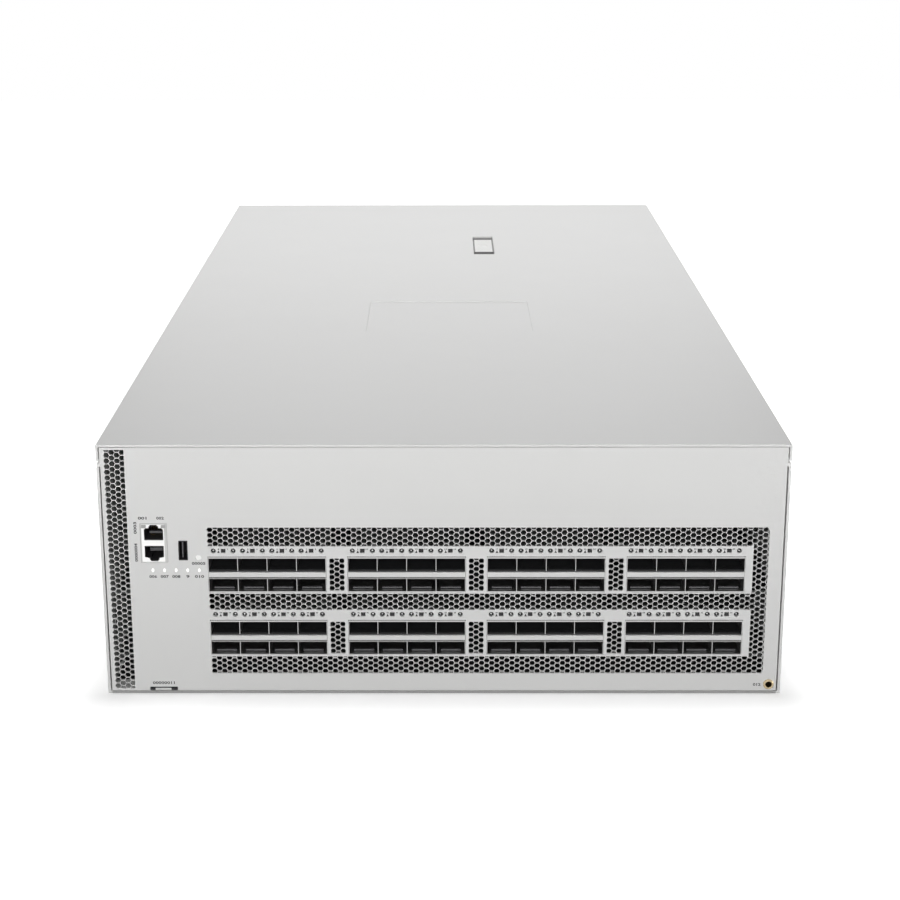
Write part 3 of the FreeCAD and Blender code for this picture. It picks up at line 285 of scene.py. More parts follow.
def long_fold(edge):
    """Edges that run from front to back are bends of the sheet, and the others are cut."""
    along = (edge.verts[1].co - edge.verts[0].co).normalized()
    return 1 if abs(along.y) > 0.9 and edge.calc_length() > 0.5 else CUT_EDGE / BEND


# Polyester powder coat on steel: satin. Its real orange peel is near 1 mm, and is drawn at 2.4 mm to show.
paint = surface("satin_powder_coat_on_steel", ("#d4d4d3", "#d6d6d5"), (0.42, 0.46), (90, 3), (0.12, 0.05),
                relief=(2.4, 2), ends=(0.35, 0.65))
eased_copy("folded_base", "base_chassis", paint, CHASSIS, BEND, long_fold)

# Cover: a shallow folded lid of the same coated steel, slid on from behind. A label recess is
# pressed in its middle, and a sprung latch lever lies in a well nearer the back.
cover = eased_copy("folded_cover", "top_cover", paint, CHASSIS, BEND, long_fold)
# The step round the recess is so low that its floor would shade as if tilted, so broad faces shade flat
BROAD_FACE = 0.001
for polygon in cover.data.polygons:
    polygon.use_smooth = polygon.area < BROAD_FACE


# Front plate: one punched sheet, coated like the rest. Some 1,300 true hexagon holes stand in a
# honeycomb round the ports and down the left edge, with square and round windows for the port lamps.
HEX_PITCH = 3.80
HEX_FLAT = 3.45
LEAST_SLIVER = 0.14
PLATE = 1.5
FLANGE = 12
CAGE_GAP = 0.15
GASKET_GAP = 0.5
LEFT_LATTICE = (-213.16, 165.05)
FIELD_LATTICE = (-149.6, 114.55)
RING_HOLE = 1.7
RING_REACH = 6.4
WINDOW_HALF = (1.5, 1.45)
MARK_RISE = 4.4
MARK_SHIFT, MARK_SPREAD = -0.2, 0.9954


def upright(u, v, depth):
    """A point of a drawing in the plane of the front, so far behind it."""
    return u, depth, v


def plate(shape, outline, holes, front, back, turn=upright):
    """A flat plate with holes of any outline, from its loops of corners in the plate's plane."""
    corners, loops = [], []
    for loop in [outline] + holes:
        loops.append(list(range(len(corners), len(corners) + len(loop))))
        corners.extend(Vector(corner) for corner in loop)
    flat, _, triangles, _, _, origins = delaunay_2d_cdt(corners, [], loops, 1, 1e-6)
    near = [shape.verts.new(turn(corner.x, corner.y, front)) for corner in flat]
    far = [shape.verts.new(turn(corner.x, corner.y, back)) for corner in flat]
    for triangle, origin in zip(triangles, origins):
        if list(origin) == [0]:
            shape.faces.new([near[i] for i in triangle])
            shape.faces.new([far[i] for i in reversed(triangle)])
    for loop in loops:
        for i, j in zip(loop, loop[1:] + loop[:1]):
            shape.faces.new((near[i], near[j], far[j], far[i]))


def block(shape, low, high):
    """A plain block between two corners."""
    corners = [shape.verts.new((x, y, z)) for x in (low[0], high[0]) for y in (low[1], high[1])
               for z in (low[2], high[2])]
    for sides in ((0, 1, 3, 2), (4, 6, 7, 5), (0, 4, 5, 1), (2, 3, 7, 6), (0, 2, 6, 4), (1, 5, 7, 3)):
        shape.faces.new([corners[i] for i in sides])


def rectangle(left, low, right, high):
    return [(left, low), (right, low), (right, high), (left, high)]


def window_at(x, z, half):
    """A rectangle about its middle, from half its width and half its height."""
    return rectangle(x - half[0], z - half[1], x + half[0], z + half[1])


def round_hole(x, z, radius, sides=24):
    turns = [2 * math.pi * k / sides for k in range(sides)]
    return [(x + radius * math.cos(turn), z + radius * math.sin(turn)) for turn in turns]


def oval(x, z, half_width, half_height, sides=24):
    return [(x + half_width * (u - x), z + half_height * (v - z)) for u, v in round_hole(x, z, 1, sides)]


def area(loop):
    return abs(sum(a[0] * b[1] - b[0] * a[1] for a, b in zip(loop, loop[1:] + loop[:1]))) / 2


def clipped(loop, window):
    """What of a loop lies in a window, its cut sides straight."""
    left, low, right, high = window
    for axis, limit, side in ((0, left, 1), (0, right, -1), (1, low, 1), (1, high, -1)):
        kept = []
        for a, b in zip(loop, loop[1:] + loop[:1]):
            inside_a, inside_b = side * (a[axis] - limit) >= 0, side * (b[axis] - limit) >= 0
            if inside_a:
                kept.append(a)
            if inside_a != inside_b:
                share = (limit - a[axis]) / (b[axis] - a[axis])
                kept.append(tuple(p + share * (q - p) for p, q in zip(a, b)))
        loop = kept
        if len(loop) < 3:
            return []
    return loop


def honeycomb(windows, lattice):
    """Hexagon holes of one lattice in a union of windows, cut off straight where a window ends."""
    column = HEX_PITCH * math.sqrt(3) / 2
    radius = HEX_FLAT / math.sqrt(3)
    whole = 1.5 * math.sqrt(3) * radius ** 2
    left, low = (min(window[axis] for window in windows) for axis in (0, 1))
    right, high = (max(window[axis] for window in windows) for axis in (2, 3))
    holes = []
    for i in range(math.floor((left - lattice[0]) / column), math.ceil((right - lattice[0]) / column) + 1):
        x = lattice[0] + i * column
        rise = lattice[1] - i % 2 * HEX_PITCH / 2
        for j in range(math.floor((low - rise) / HEX_PITCH), math.ceil((high - rise) / HEX_PITCH) + 1):
            hexagon = round_hole(x, rise + j * HEX_PITCH, radius, 6)
            if all(any(w[0] <= u <= w[2] and w[1] <= v <= w[3] for w in windows) for u, v in hexagon):
                holes.append(hexagon)
                continue
            best = max((clipped(hexagon, window) for window in windows), key=area)
            if area(best) > LEAST_SLIVER * whole:
                holes.append(best)
    return holes


panel_low, panel_high = mm_box("front_panel")
face = panel_low.y
cages = {(tier, bank): mm_box(f"port_cage_{tier}_{bank}")
         for tier in ("upper", "lower") for bank in range(1, 5)}
band_low, band_high = mm_box("band_vent_screens")
side_low, side_high = mm_box("side_vent_screens")
SCREEN_SEAM = 0.05
upper_low, upper_high = cages["upper", 1]
lower_low, lower_high = cages["lower", 1]
STRIP_OVER_CAGE = 7.45
STRIP_UNDER_CAGE = 1.1
RIGHT_VENT_WIDE = 9.7
LEFT_VENT_WIDE = 13.1
field_right = side_high.x + SCREEN_SEAM
right_vent_left = field_right - RIGHT_VENT_WIDE
left_vent_right = side_low.x + LEFT_VENT_WIDE - SCREEN_SEAM
holes = honeycomb([(side_low.x, side_low.z, left_vent_right, side_high.z)], LEFT_LATTICE)
holes += honeycomb([
    (band_low.x, upper_high.z + STRIP_OVER_CAGE, field_right, band_high.z),
    (band_low.x, lower_high.z + STRIP_OVER_CAGE, field_right, upper_low.z - STRIP_UNDER_CAGE),
    (band_low.x, band_low.z, field_right, lower_low.z - STRIP_UNDER_CAGE),
    (right_vent_left, band_low.z, field_right, band_high.z),
], FIELD_LATTICE)
PORT_WALL = 0.4
BANK_INSET = 0.9
BANK_VENT_HALF = 4.8
marks = []
for (tier, bank), (low, high) in cages.items():
    holes.append(rectangle(low.x - CAGE_GAP, low.z - CAGE_GAP, high.x + CAGE_GAP, high.z + GASKET_GAP))
    if bank < 4:
        next_low = cages[tier, bank + 1][0]
        gap_middle = (high.x + next_low.x) / 2
        window = (gap_middle - BANK_VENT_HALF, low.z + BANK_INSET, gap_middle + BANK_VENT_HALF,
                  high.z - BANK_INSET)
        holes += honeycomb([window], (gap_middle, (low.z + high.z) / 2))
    port_pitch = (high.x - low.x - PORT_WALL) / 4
    for column in range(4):
        port_x = low.x + PORT_WALL / 2 + (column + 0.5) * port_pitch
        marks.append((port_x * MARK_SPREAD + MARK_SHIFT, high.z + MARK_RISE, tier, bank, column))
for x, z, *_ in marks:
    holes += [round_hole(x + side * RING_REACH, z, RING_HOLE, 12) for side in (-1, 1)]
    holes.append(window_at(x, z, WINDOW_HALF))

jack_low, jack_high = mm_box("console_jack_shield")
bus_low, bus_high = mm_box("bus_socket_shell")
button_low, button_high = mm_box("reset_button")
pipe_low, pipe_high = mm_box("status_light_pipe")
ground_low, ground_high = mm_box("ground_jack")
tag_low, tag_high = mm_box("asset_tag")
FIT = 0.15
LENS_GAP = 0.05
RESET_HOLE = 1.95
LIGHT_WIDE, LIGHT_TALL = 0.7, 1.2
LIGHT_RADIUS = 1.2
LIGHT_PITCH = 7.47
BARREL = 2.95
TAG_NOTCH = 2.6
TAG_GAP = 0.3
for low, high in ((jack_low, jack_high), (bus_low, bus_high)):
    holes.append(rectangle(low.x - FIT, low.z - FIT, high.x + FIT, high.z + FIT))
reset_x, reset_z = (button_low.x + button_high.x) / 2, (button_low.z + button_high.z) / 2
holes.append(round_hole(reset_x, reset_z, RESET_HOLE, 32))
light_z = pipe_low.z + 2 * LIGHT_RADIUS
lights = [pipe_low.x + 2 * LIGHT_RADIUS + i * LIGHT_PITCH for i in range(5)]
holes += [oval(x, light_z, LIGHT_WIDE + LENS_GAP, LIGHT_TALL + LENS_GAP) for x in lights]
ground_x, ground_z = (ground_low.x + ground_high.x) / 2, (ground_low.z + ground_high.z) / 2
holes.append(round_hole(ground_x, ground_z, BARREL, 32))
notch_left, notch_right = tag_low.x - TAG_GAP, tag_high.x + TAG_GAP
notch_top = panel_low.z + TAG_NOTCH
panel_outline = rectangle(panel_low.x, panel_low.z, panel_high.x, panel_high.z)
panel_outline[1:1] = [(notch_left, panel_low.z), (notch_left, notch_top), (notch_right, notch_top),
                      (notch_right, panel_low.z)]
shape = bmesh.new()
plate(shape, panel_outline, holes, face, face + PLATE)
flange_back = face + PLATE + FLANGE
block(shape, (panel_low.x + FLANGE, face + PLATE, panel_high.z - PLATE),
      (panel_high.x - FLANGE, flange_back, panel_high.z))
FLANGE_LOW, FLANGE_HIGH = 14, 154
for x in (panel_low.x, panel_high.x - PLATE):
    block(shape, (x, face + PLATE, FLANGE_LOW), (x + PLATE, flange_back, FLANGE_HIGH))
as_piece("punched_front_plate", shape, paint, CHASSIS,
         ["front_panel", "port_field_bars", "side_vent_screens", "band_vent_screens", "bank_vent_screens"])


# Port cages: ganged housings of thin nickel-plated copper alloy, stamped, folded and pressed into the
# board. The plating is bright, and faintly brushed along the strip that it was stamped from.


def finish(material, *nodes):
    """Give CAD nodes that stay their real finish."""
    for node in nodes:
        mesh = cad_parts[node].data
        mesh.materials.clear()
        mesh.materials.append(material)


METAL = {"Metallic": 1.0}
# Nickel plate: bright, with fine streaks along the strip
nickel = surface("bright_nickel_plate", ("#b4b4b3",), (0.24, 0.42), (0.35, 3, 0.04, 0.04, 1), (0.1, 0.02),
                 shader=METAL)
# Glass-filled polyester, moulded: matt black, with a fine even grain from the mould
black = surface("black_moulded_polyester", ("#141415", "#1e1e20"), 0.55, (0.5, 2), (0.2, 0.04))
# Nickel and copper fabric over foam, glued on: matt grey, with a plain weave drawn at 0.6 mm. Its grey
# is darkened as painted shade, for the shade that falls on the lip under each row.
gasket_fabric_painted_shade = surface("conductive_fabric_gasket_painted_shade", ("#7c7c7b", "#949493"), 0.65, (0.6, 0), (0.3, 0.1),
                 shader={"Metallic": 0.3}, kind="TexVoronoi", distance="CHEBYCHEV")


def grey_moulding(name, dark, light):
    """A grey polymer, moulded thin: satin, with the faint streaks of its flow."""
    return surface(name, (dark, light), 0.5, (0.8, 2, 1, 1, 0.2))


grey_polymer = grey_moulding("grey_liquid_crystal_polymer", "#4c4c4e", "#58585a")
CAGE_FLOOR = 0.6
PORT_HEIGHT = 8.7
PORT_DEPTH = 44
ROW_BAR = 5.3
LIP = 0.75
LIP_DROP = 0.2
GROOVE = 0.45
WEB = 1.2
WEB_DROP = 0.9
FINGER_PITCH = 1.5
FINGER = 0.95
FINGER_BOW, TOP_FINGER_BOW = 0.32, 0.25
TOOTH_PITCH = 0.8
TOOTH_INSET = 1
TOOTH = 0.4
TOOTH_TALL = 0.45
TOOTH_FRONT, TOOTH_BACK = 2, 8
RAIL_LEFT = 2.8
RAIL_WIDE = 13
RAIL_FRONT = 4.2
RAIL_LONG = 1.4
RAIL_LOW, RAIL_HIGH = 0.35, 1.25
finish(nickel, "port_dividers", *(f"port_cage_{tier}_{bank}" for tier, bank in cages))
finish(black, "port_connectors")
bars, dark_port_floor_spacers, lips, rails = (bmesh.new() for _ in range(4))
for (tier, bank), (low, high) in cages.items():
    left, right = low.x + PORT_WALL, high.x - PORT_WALL
    port_pitch = (high.x - low.x - PORT_WALL) / 4
    bar_low = low.z + CAGE_FLOOR + PORT_HEIGHT
    bar_high = bar_low + ROW_BAR
    # Between the rows: a coated web of the plate before a black spacer, and a gasket lip under both. The
    # spacer's black is painted shade, for the dark floor of the upper port, and the lip's darker grey is
    # painted shade too.
    block(lips, (left, low.y + 0.1, bar_low - LIP_DROP), (right, low.y + WEB, bar_low + LIP))
    block(dark_port_floor_spacers, (left, low.y + WEB, bar_low), (right, low.y + PORT_DEPTH, bar_high))
    block(bars, (left, low.y, bar_low + LIP + GROOVE), (right, low.y + WEB, bar_high - WEB_DROP))
    count = int((right - left) / FINGER_PITCH)
    for k in range(count):
        x = left + (k + 0.5) * (right - left) / count
        for z, tall in ((bar_low + LIP, FINGER_BOW), (high.z, TOP_FINGER_BOW)):
            block(lips, (x - FINGER / 2, low.y + 0.6, z), (x + FINGER / 2, low.y + WEB, z + tall))
    for column in range(4):
        port_left = low.x + column * port_pitch + PORT_WALL
        port_right = port_left + port_pitch - PORT_WALL
        # Low teeth along the floor of each upper port, black like the spacer as painted shade, and the stop
        # rail of each lower one
        toothed = port_right - port_left - 2 * TOOTH_INSET
        teeth = int(toothed / TOOTH_PITCH)
        for k in range(teeth):
            x = port_left + TOOTH_INSET + (k + 0.5) * toothed / teeth
            block(dark_port_floor_spacers, (x - TOOTH / 2, low.y + TOOTH_FRONT, bar_high),
                  (x + TOOTH / 2, low.y + TOOTH_BACK, bar_high + TOOTH_TALL))
        rail_z = low.z + CAGE_FLOOR
        block(rails, (port_left + RAIL_LEFT, low.y + RAIL_FRONT, rail_z + RAIL_LOW),
              (port_left + RAIL_LEFT + RAIL_WIDE, low.y + RAIL_FRONT + RAIL_LONG, rail_z + RAIL_HIGH))
as_piece("port_row_webs", bars, paint, CHASSIS, ease=0.12)
# The spacer and its teeth are black as painted shade inside the upper ports
as_piece("port_row_spacers_painted_shade", dark_port_floor_spacers, black, CHASSIS, ["port_row_bars"])
# The lip's darker grey is painted shade
as_piece("port_gasket_lips", lips, gasket_fabric_painted_shade, CHASSIS)
as_piece("port_stop_rails", rails, grey_polymer, CHASSIS, ease=0.1)

# Port marks: each column of ports has a round window on either side of a square one, for the lamps of
# its two ports. Port numbers and arrows, screen printed in dark ink, stand between the windows.
INK_PROUD = 0.03
NUMBER_TALL, LABEL_TALL = 0.9, 2.0
DIGIT_WIDE = 0.75
BOLD = 0.03
NUMBER_RISE = 1.15
ARROW_WIDE, ARROW_TALL = 1.7, 1.9
ARROW_DROP = 0.5
UPPER_PORT, LOWER_PORT = -3.0, 2.9
LAMP_BAR = (1.3, 6.9)
LAMP_BAR_FRONT, LAMP_BAR_BACK = 1.6, 4.0
PIN_RADIUS = 0.45
PIN_SUNK = 0.6
LENS_SUNK = 0.7


def printed(shape, text, x, z, wide, tall=LABEL_TALL, upwards=False):
    """Print a number on the front: its middle, width and height, reading across or upwards."""
    letters = bpy.data.curves.new("number", "FONT")
    letters.body = text
    letters.resolution_u = 2
    letters.extrude = 1
    letters.offset = BOLD
    helper = bpy.data.objects.new("number", letters)
    drawn = bpy.data.meshes.new_from_object(helper)
    bpy.data.objects.remove(helper)
    spots = [vertex.co for vertex in drawn.vertices]
    left, right = (pick(spot.x for spot in spots) for pick in (min, max))
    low, high = (pick(spot.y for spot in spots) for pick in (min, max))
    corners = []
    for spot in spots:
        across = ((spot.x - left) / (right - left) - 0.5) * wide
        rise = ((spot.y - low) / (high - low) - 0.5) * tall
        u, v = (-rise, across) if upwards else (across, rise)
        corners.append(shape.verts.new((x + u, face - INK_PROUD if spot.z > 0 else face, z + v)))
    for polygon in drawn.polygons:
        shape.faces.new([corners[i] for i in polygon.vertices])


def turned(shape, x, z, profile, sides=16):
    """A form turned about a line along Y: rings of a radius at a depth, hollow if none is a point."""
    rings = []
    for radius, depth in profile:
        turns = [2 * math.pi * k / sides for k in range(sides if radius else 1)]
        rings.append([shape.verts.new((x + radius * math.cos(turn), depth, z + radius * math.sin(turn)))
                      for turn in turns])
    following = rings[1:] if profile[0][0] == 0 else rings[1:] + rings[:1]
    for near, far in zip(rings, following):
        for k in range(sides):
            after = k + 1
            corners = [near[k % len(near)], near[after % len(near)], far[after % len(far)], far[k % len(far)]]
            shape.faces.new(list(dict.fromkeys(corners)))


def lens_block(shape, x, z, half, front, back):
    """A small lens that fills its window but for a hair's gap all round."""
    wide, tall = half[0] - LENS_GAP, half[1] - LENS_GAP
    block(shape, (x - wide, face + front, z - tall), (x + wide, face + back, z + tall))


# Epoxy ink, screen printed and baked: dark, dead matt and a little uneven
ink = surface("screen_printed_epoxy_ink", ("#303031", "#3d3d3f"), 0.7, (0.6, 2))
# White polycarbonate, moulded: milky and a little glossy, with a faint flow
white = surface("white_moulded_polycarbonate", ("#f3f3f1", "#fbfbfa"), 0.35, (4, 2), (0.1, 0.05),
                shader={"IOR": 1.58})
# Smoked acrylic: near black and polished, with a small clear reflection
smoked = surface("smoked_acrylic", ("#0a0a0b", "#121213"), 0.15, (2, 2), shader={"IOR": 1.49})
marking, pins, lenses = (bmesh.new() for _ in range(3))
for x, z, tier, bank, column in marks:
    number = 1 + 2 * (column + 4 * (bank - 1)) + (32 if tier == "lower" else 0)
    for shift, step, point in ((UPPER_PORT, 0, 1), (LOWER_PORT, 1, -1)):
        middle = x + shift
        wide = DIGIT_WIDE * len(str(number + step))
        printed(marking, str(number + step), middle, z + NUMBER_RISE, wide, NUMBER_TALL)
        base_z, tip_z = z - ARROW_DROP - point * ARROW_TALL / 2, z - ARROW_DROP + point * ARROW_TALL / 2
        arrow = [(middle - ARROW_WIDE / 2, base_z), (middle + ARROW_WIDE / 2, base_z), (middle, tip_z)]
        plate(marking, arrow, [], face - INK_PROUD, face)
    for side in (-1, 1):
        turned(pins, x + side * RING_REACH, z, [
            (0, face + PIN_SUNK), (0.6 * PIN_RADIUS, face + PIN_SUNK + 0.05),
            (PIN_RADIUS, face + PIN_SUNK + 0.3), (PIN_RADIUS, face + LAMP_BAR_FRONT),
            (0, face + LAMP_BAR_FRONT)], 12)
    lens_block(lenses, x, z, WINDOW_HALF, LENS_SUNK, LAMP_BAR_FRONT)
shroud = bmesh.new()
for low, high in cages.values():
    block(shroud, (low.x, face + LAMP_BAR_FRONT, high.z + LAMP_BAR[0]),
          (high.x, face + LAMP_BAR_BACK, high.z + LAMP_BAR[1]))
as_piece("lamp_shroud", shroud, black, CHASSIS, ease=0.2)
as_piece("lamp_pins", pins, white, CHASSIS)
as_piece("lamp_windows", lenses, smoked, CHASSIS, ease=0.15)

# Console corner: a stacked network jack in a plated shield, an upright bus socket, a reset button and
# five status lights, all on one small board behind the plate. Plain numbers stand for its labels.
JACK_PLATE_FRONT, JACK_PLATE_BACK = 0.25, 0.55
SHIELD = 0.6
MOUTH = 12.2
NOTCH_WIDE, NOTCH_NARROW = 6.2, 4.0
SHIELD_FLANGE = 1.2
JACK_LAMP_HALF = (1.5, 1.1)
JACK_LAMP_REACH, JACK_LAMP_DROP = 6.3, 1.5
COMB_LEFT, COMB_RIGHT, COMB_FRONT, COMB_BACK = 3.1, 5.1, 3, 5
WIRE_PITCH = 1.02
WIRE = 0.42
LIGHT_GLOW = 0.6
PIPE_FRONT = 1.55
jack_x = (jack_low.x + jack_high.x) / 2


def mirrored(points, middle):
    """The points mirrored about a middle, in an order that closes a loop."""
    return [(2 * middle - u, v) for u, v in reversed(points)]


def stepped_mouth(*rows):
    """A jack mouth's outline, mirrored: its half widths at heights over the shield's foot."""
    right = [(jack_x + half_width, jack_low.z + height) for half_width, height in rows]
    return right + mirrored(right, jack_x)


upper_mouth = stepped_mouth(
    (MOUTH / 2, 15.3), (MOUTH / 2, 22.5), (MOUTH / 2 - 1.1, 23.6), (NOTCH_WIDE / 2, 23.6),
    (NOTCH_WIDE / 2, 24.6), (NOTCH_NARROW / 2, 25.8))
lower_mouth = stepped_mouth(
    (NOTCH_NARROW / 2, 0.9), (NOTCH_WIDE / 2, 2.1), (NOTCH_WIDE / 2, 3.0), (MOUTH / 2, 3.8),
    (MOUTH / 2, 11.4))
flange_left = jack_high.x - SHIELD - SHIELD_FLANGE
lamp_z = jack_high.z - SHIELD - JACK_LAMP_DROP
jack_lamps = [(jack_x + side * JACK_LAMP_REACH, lamp_z) for side in (-1, 1)]
shape = bmesh.new()
plate(shape, rectangle(jack_low.x + SHIELD, jack_low.z + SHIELD, flange_left, jack_high.z - SHIELD),
      [upper_mouth, lower_mouth] + [window_at(x, z, JACK_LAMP_HALF) for x, z in jack_lamps],
      face + JACK_PLATE_FRONT, face + JACK_PLATE_BACK)
# Bright tin plate: whiter than nickel, and smooth
tin = surface("bright_tin_plate", ("#dfdfde",), (0.3, 0.4), (1.5, 2), shader=METAL)
as_piece("jack_face_plate", shape, tin, CHASSIS, ease=0.08)
shape = bmesh.new()
for x, z in jack_lamps:
    lens_block(shape, x, z, JACK_LAMP_HALF, JACK_PLATE_FRONT - LENS_GAP, JACK_PLATE_BACK)
light_guide = grey_moulding("unlit_grey_polycarbonate", "#969694", "#a4a4a2")
as_piece("jack_lamps", shape, light_guide, CHASSIS, ease=0.15)
shape = bmesh.new()
block(shape, (flange_left, face + JACK_PLATE_FRONT, jack_low.z + SHIELD),
      (jack_high.x - SHIELD, face + JACK_PLATE_BACK, jack_high.z - SHIELD))
as_piece("jack_shield_flange", shape, nickel, CHASSIS, ease=0.1)
shape = bmesh.new()
for comb_low, comb_high in ((6.9, 9.2), (19.0, 20.6)):
    block(shape, (jack_x - COMB_LEFT, face + COMB_FRONT, jack_low.z + comb_low),
          (jack_x + COMB_RIGHT, face + COMB_BACK, jack_low.z + comb_high))
comb_polymer = grey_moulding("dark_grey_liquid_crystal_polymer", "#303032", "#38383a")
as_piece("jack_wire_combs", shape, comb_polymer, CHASSIS, ease=0.3)


def sloped_bar(shape, x, wide, thick, front, back):
    """A square wire between two places along Y, each given as its depth and height."""
    corners = [shape.verts.new((x + side * wide / 2, y, z + rise * thick / 2))
               for y, z in (front, back) for side, rise in ((-1, -1), (1, -1), (1, 1), (-1, 1))]
    for k in range(4):
        after = (k + 1) % 4
        shape.faces.new((corners[k], corners[after], corners[4 + after], corners[4 + k]))
    shape.faces.new(corners[:4])
    shape.faces.new(corners[4:])


# Hard gold over nickel on spring wire: warm, bright and a little worn
gold = surface("hard_gold_plate", ("#d9b465",), (0.2, 0.38), (0.8, 2), shader=METAL)
shape = bmesh.new()
for floor_z, rise in ((jack_low.z + 15.9, 1), (jack_low.z + 11.5, -1)):
    for k in range(8):
        sloped_bar(shape, jack_x + (k - 3.5) * WIRE_PITCH, WIRE, WIRE,
                   (face + 12, floor_z + rise * 0.8), (face + 17, floor_z + rise * 3.6))
as_piece("jack_contact_wires", shape, gold, CHASSIS)
finish(nickel, "console_jack_shield")
finish(black, "console_jack_insert", "bus_socket_shell")

BUS_CONTACT_PITCH = 2.5
TONGUE_LEFT, TONGUE_WIDE, TONGUE_FOOT, TONGUE_INSET = 1.9, 0.9, 1.6, 1.2
tongue_low, tongue_high = mm_box("bus_socket_tongue")
bus_left = bus_low.x + TONGUE_LEFT
shape = bmesh.new()
tongue_back = tongue_high.y - TONGUE_FOOT
block(shape, (bus_left, tongue_low.y, bus_low.z + TONGUE_INSET),
      (bus_left + TONGUE_WIDE, tongue_back, bus_high.z - TONGUE_INSET))
block(shape, (bus_low.x, tongue_back, tongue_low.z), (bus_high.x, tongue_high.y, tongue_high.z))
as_piece("bus_tongue", shape, grey_polymer, CHASSIS, ["bus_socket_tongue"], ease=0.2)
shape = bmesh.new()
for k in range(4):
    z = (bus_low.z + bus_high.z) / 2 + (k - 1.5) * BUS_CONTACT_PITCH
    block(shape, (bus_left - 0.15, face + 3, z - 0.5), (bus_left, face + 17, z + 0.5))
as_piece("bus_contacts", shape, gold, CHASSIS)

CAP_FRONT = 0.17
CAP_RADIUS = 1.8
COLLAR_RADIUS = 2.6
COLLAR_FRONT = 1.55
CAP_LONG = 5
cap, collar = face + CAP_FRONT, face + COLLAR_FRONT
shape = bmesh.new()
turned(shape, reset_x, reset_z, [
    (0, cap), (CAP_RADIUS - 0.35, cap + 0.03), (CAP_RADIUS, cap + 0.35), (CAP_RADIUS, collar),
    (COLLAR_RADIUS, collar), (COLLAR_RADIUS, collar + PLATE), (CAP_RADIUS, collar + PLATE),
    (CAP_RADIUS, cap + CAP_LONG), (0, cap + CAP_LONG)], 32)
as_piece("reset_cap", shape, white, "reset_button", ["reset_button"])
finish(black, "reset_switch")

shape = bmesh.new()
block(shape, (pipe_low.x, face + PIPE_FRONT, pipe_low.z), pipe_high)
for x in lights:
    plate(shape, oval(x, light_z, LIGHT_WIDE, LIGHT_TALL), [], face, face + PIPE_FRONT)
# Frosted acrylic with a lamp behind it: white, and a little brighter than what lights it
frosted = surface("lit_frosted_acrylic", ("#f7f7f5",), (0.35, 0.55), (0.5, 2),
                  shader={"IOR": 1.49, "Emission Color": linear("#ffffff"), "Emission Strength": LIGHT_GLOW})
as_piece("status_light_guide", shape, frosted, CHASSIS, ["status_light_pipe"], ease=0.2)

for number, x, z, wide in (("001", -192.3, 122.65, 5.6), ("002", -180.9, 122.65, 4.9),
                           ("00005", reset_x, 91.6, 8.8), ("006", lights[0], 82.55, 4.9),
                           ("007", lights[1], 82.55, 5.3), ("008", lights[2], 82.55, 5.3),
                           ("9", lights[3], 82.55, 2.2), ("010", lights[4], 82.55, 6),
                           ("00000011", -183.3, 7.55, 14.4), ("012", 204.7, 6.4, 5)):
    printed(marking, number, x, z, wide)
for number, z, wide in (("0003", 116, 8.2), ("0000004", 99.1, 12.6)):
    printed(marking, number, panel_low.x + 20.1, z, wide, upwards=True)
as_piece("printed_numbers", marking, ink, CHASSIS)

# Latch: a light grey lever, moulded in ABS, that turns on a pin in a folded well under the cover. Low
# ribs on its middle are for the thumb, and the gap before it is for the finger that lifts it. A rim of
# darker grey, drawn as soft rubber round its edge, is painted shade that stands for the gap and the
# shaded walls round the lever.
LEVER_EASE = 0.5
RIB_WIDE = 9
RIB_PITCH = 2.2
RIB = 0.9
LEVER_HALF = 8.8
LEVER_RIM = 1.1
RIM_OUT = 0.5
LIP_OUT = 0.3
PROUD, RIB_PROUD = 0.05, 0.25
# ABS, moulded: satin, with a spark-eroded grain near 0.1 mm from the mould, drawn at 0.6 mm to show
light_grey, grey_well = [
    surface(name, tones, 0.45, (0.6, 2), (0.15, 0.03), shader={"IOR": 1.54})
    for name, tones in (("light_grey_moulded_abs", ("#dadad8", "#e2e2e0")),
                        ("mid_grey_moulded_abs", ("#8e8e8d", "#969695")))]
eased_copy("latch_lever", "cover_latch_lever", light_grey, "cover_latch", LEVER_EASE)
lever_low, lever_high = mm_box("cover_latch_lever")
lever_x, lever_y = (lever_low.x + lever_high.x) / 2, (lever_low.y + lever_high.y) / 2
shape = bmesh.new()
for k in (-1, 0, 1):
    block(shape, (lever_x - RIB_WIDE / 2, lever_y + k * RIB_PITCH - RIB / 2, lever_high.z - 0.1),
          (lever_x + RIB_WIDE / 2, lever_y + k * RIB_PITCH + RIB / 2, lever_high.z + RIB_PROUD))
as_piece("latch_thumb_ribs", shape, light_grey, "cover_latch", ease=0.12)
shape = bmesh.new()
rim_low, rim_high = lever_high.z - LIP_OUT, lever_high.z + PROUD
rim_left, rim_right = lever_x - LEVER_HALF - RIM_OUT, lever_x + LEVER_HALF + RIM_OUT
block(shape, (rim_left, lever_low.y - LIP_OUT, lever_low.z + LIP_OUT), (rim_right, lever_low.y, rim_high))
for x in (rim_left, rim_right - LEVER_RIM):
    block(shape, (x, lever_low.y, rim_low), (x + LEVER_RIM, lever_high.y, rim_high))
# The rim's darker grey is painted shade round the lever
rim_painted_gap_shade = grey_moulding("grey_rim_painted_gap_shade", "#6c6c6b", "#767675")
as_piece("latch_shade_rim", shape, rim_painted_gap_shade, "cover_latch")
finish(grey_well, "cover_latch_well")

# Pull-out tag: a card of pale ABS in a flat zinc-plated sleeve on the floor of the case. Its pull fills
# the notch in the lower edge of the plate, and has black grips round its corners.
GRIP_LEFT, GRIP_RIGHT = 3.2, 4.0
GRIP_PROUD = 0.06
GRIP_LONG = 1.5
GRIP_TOP = 0.5
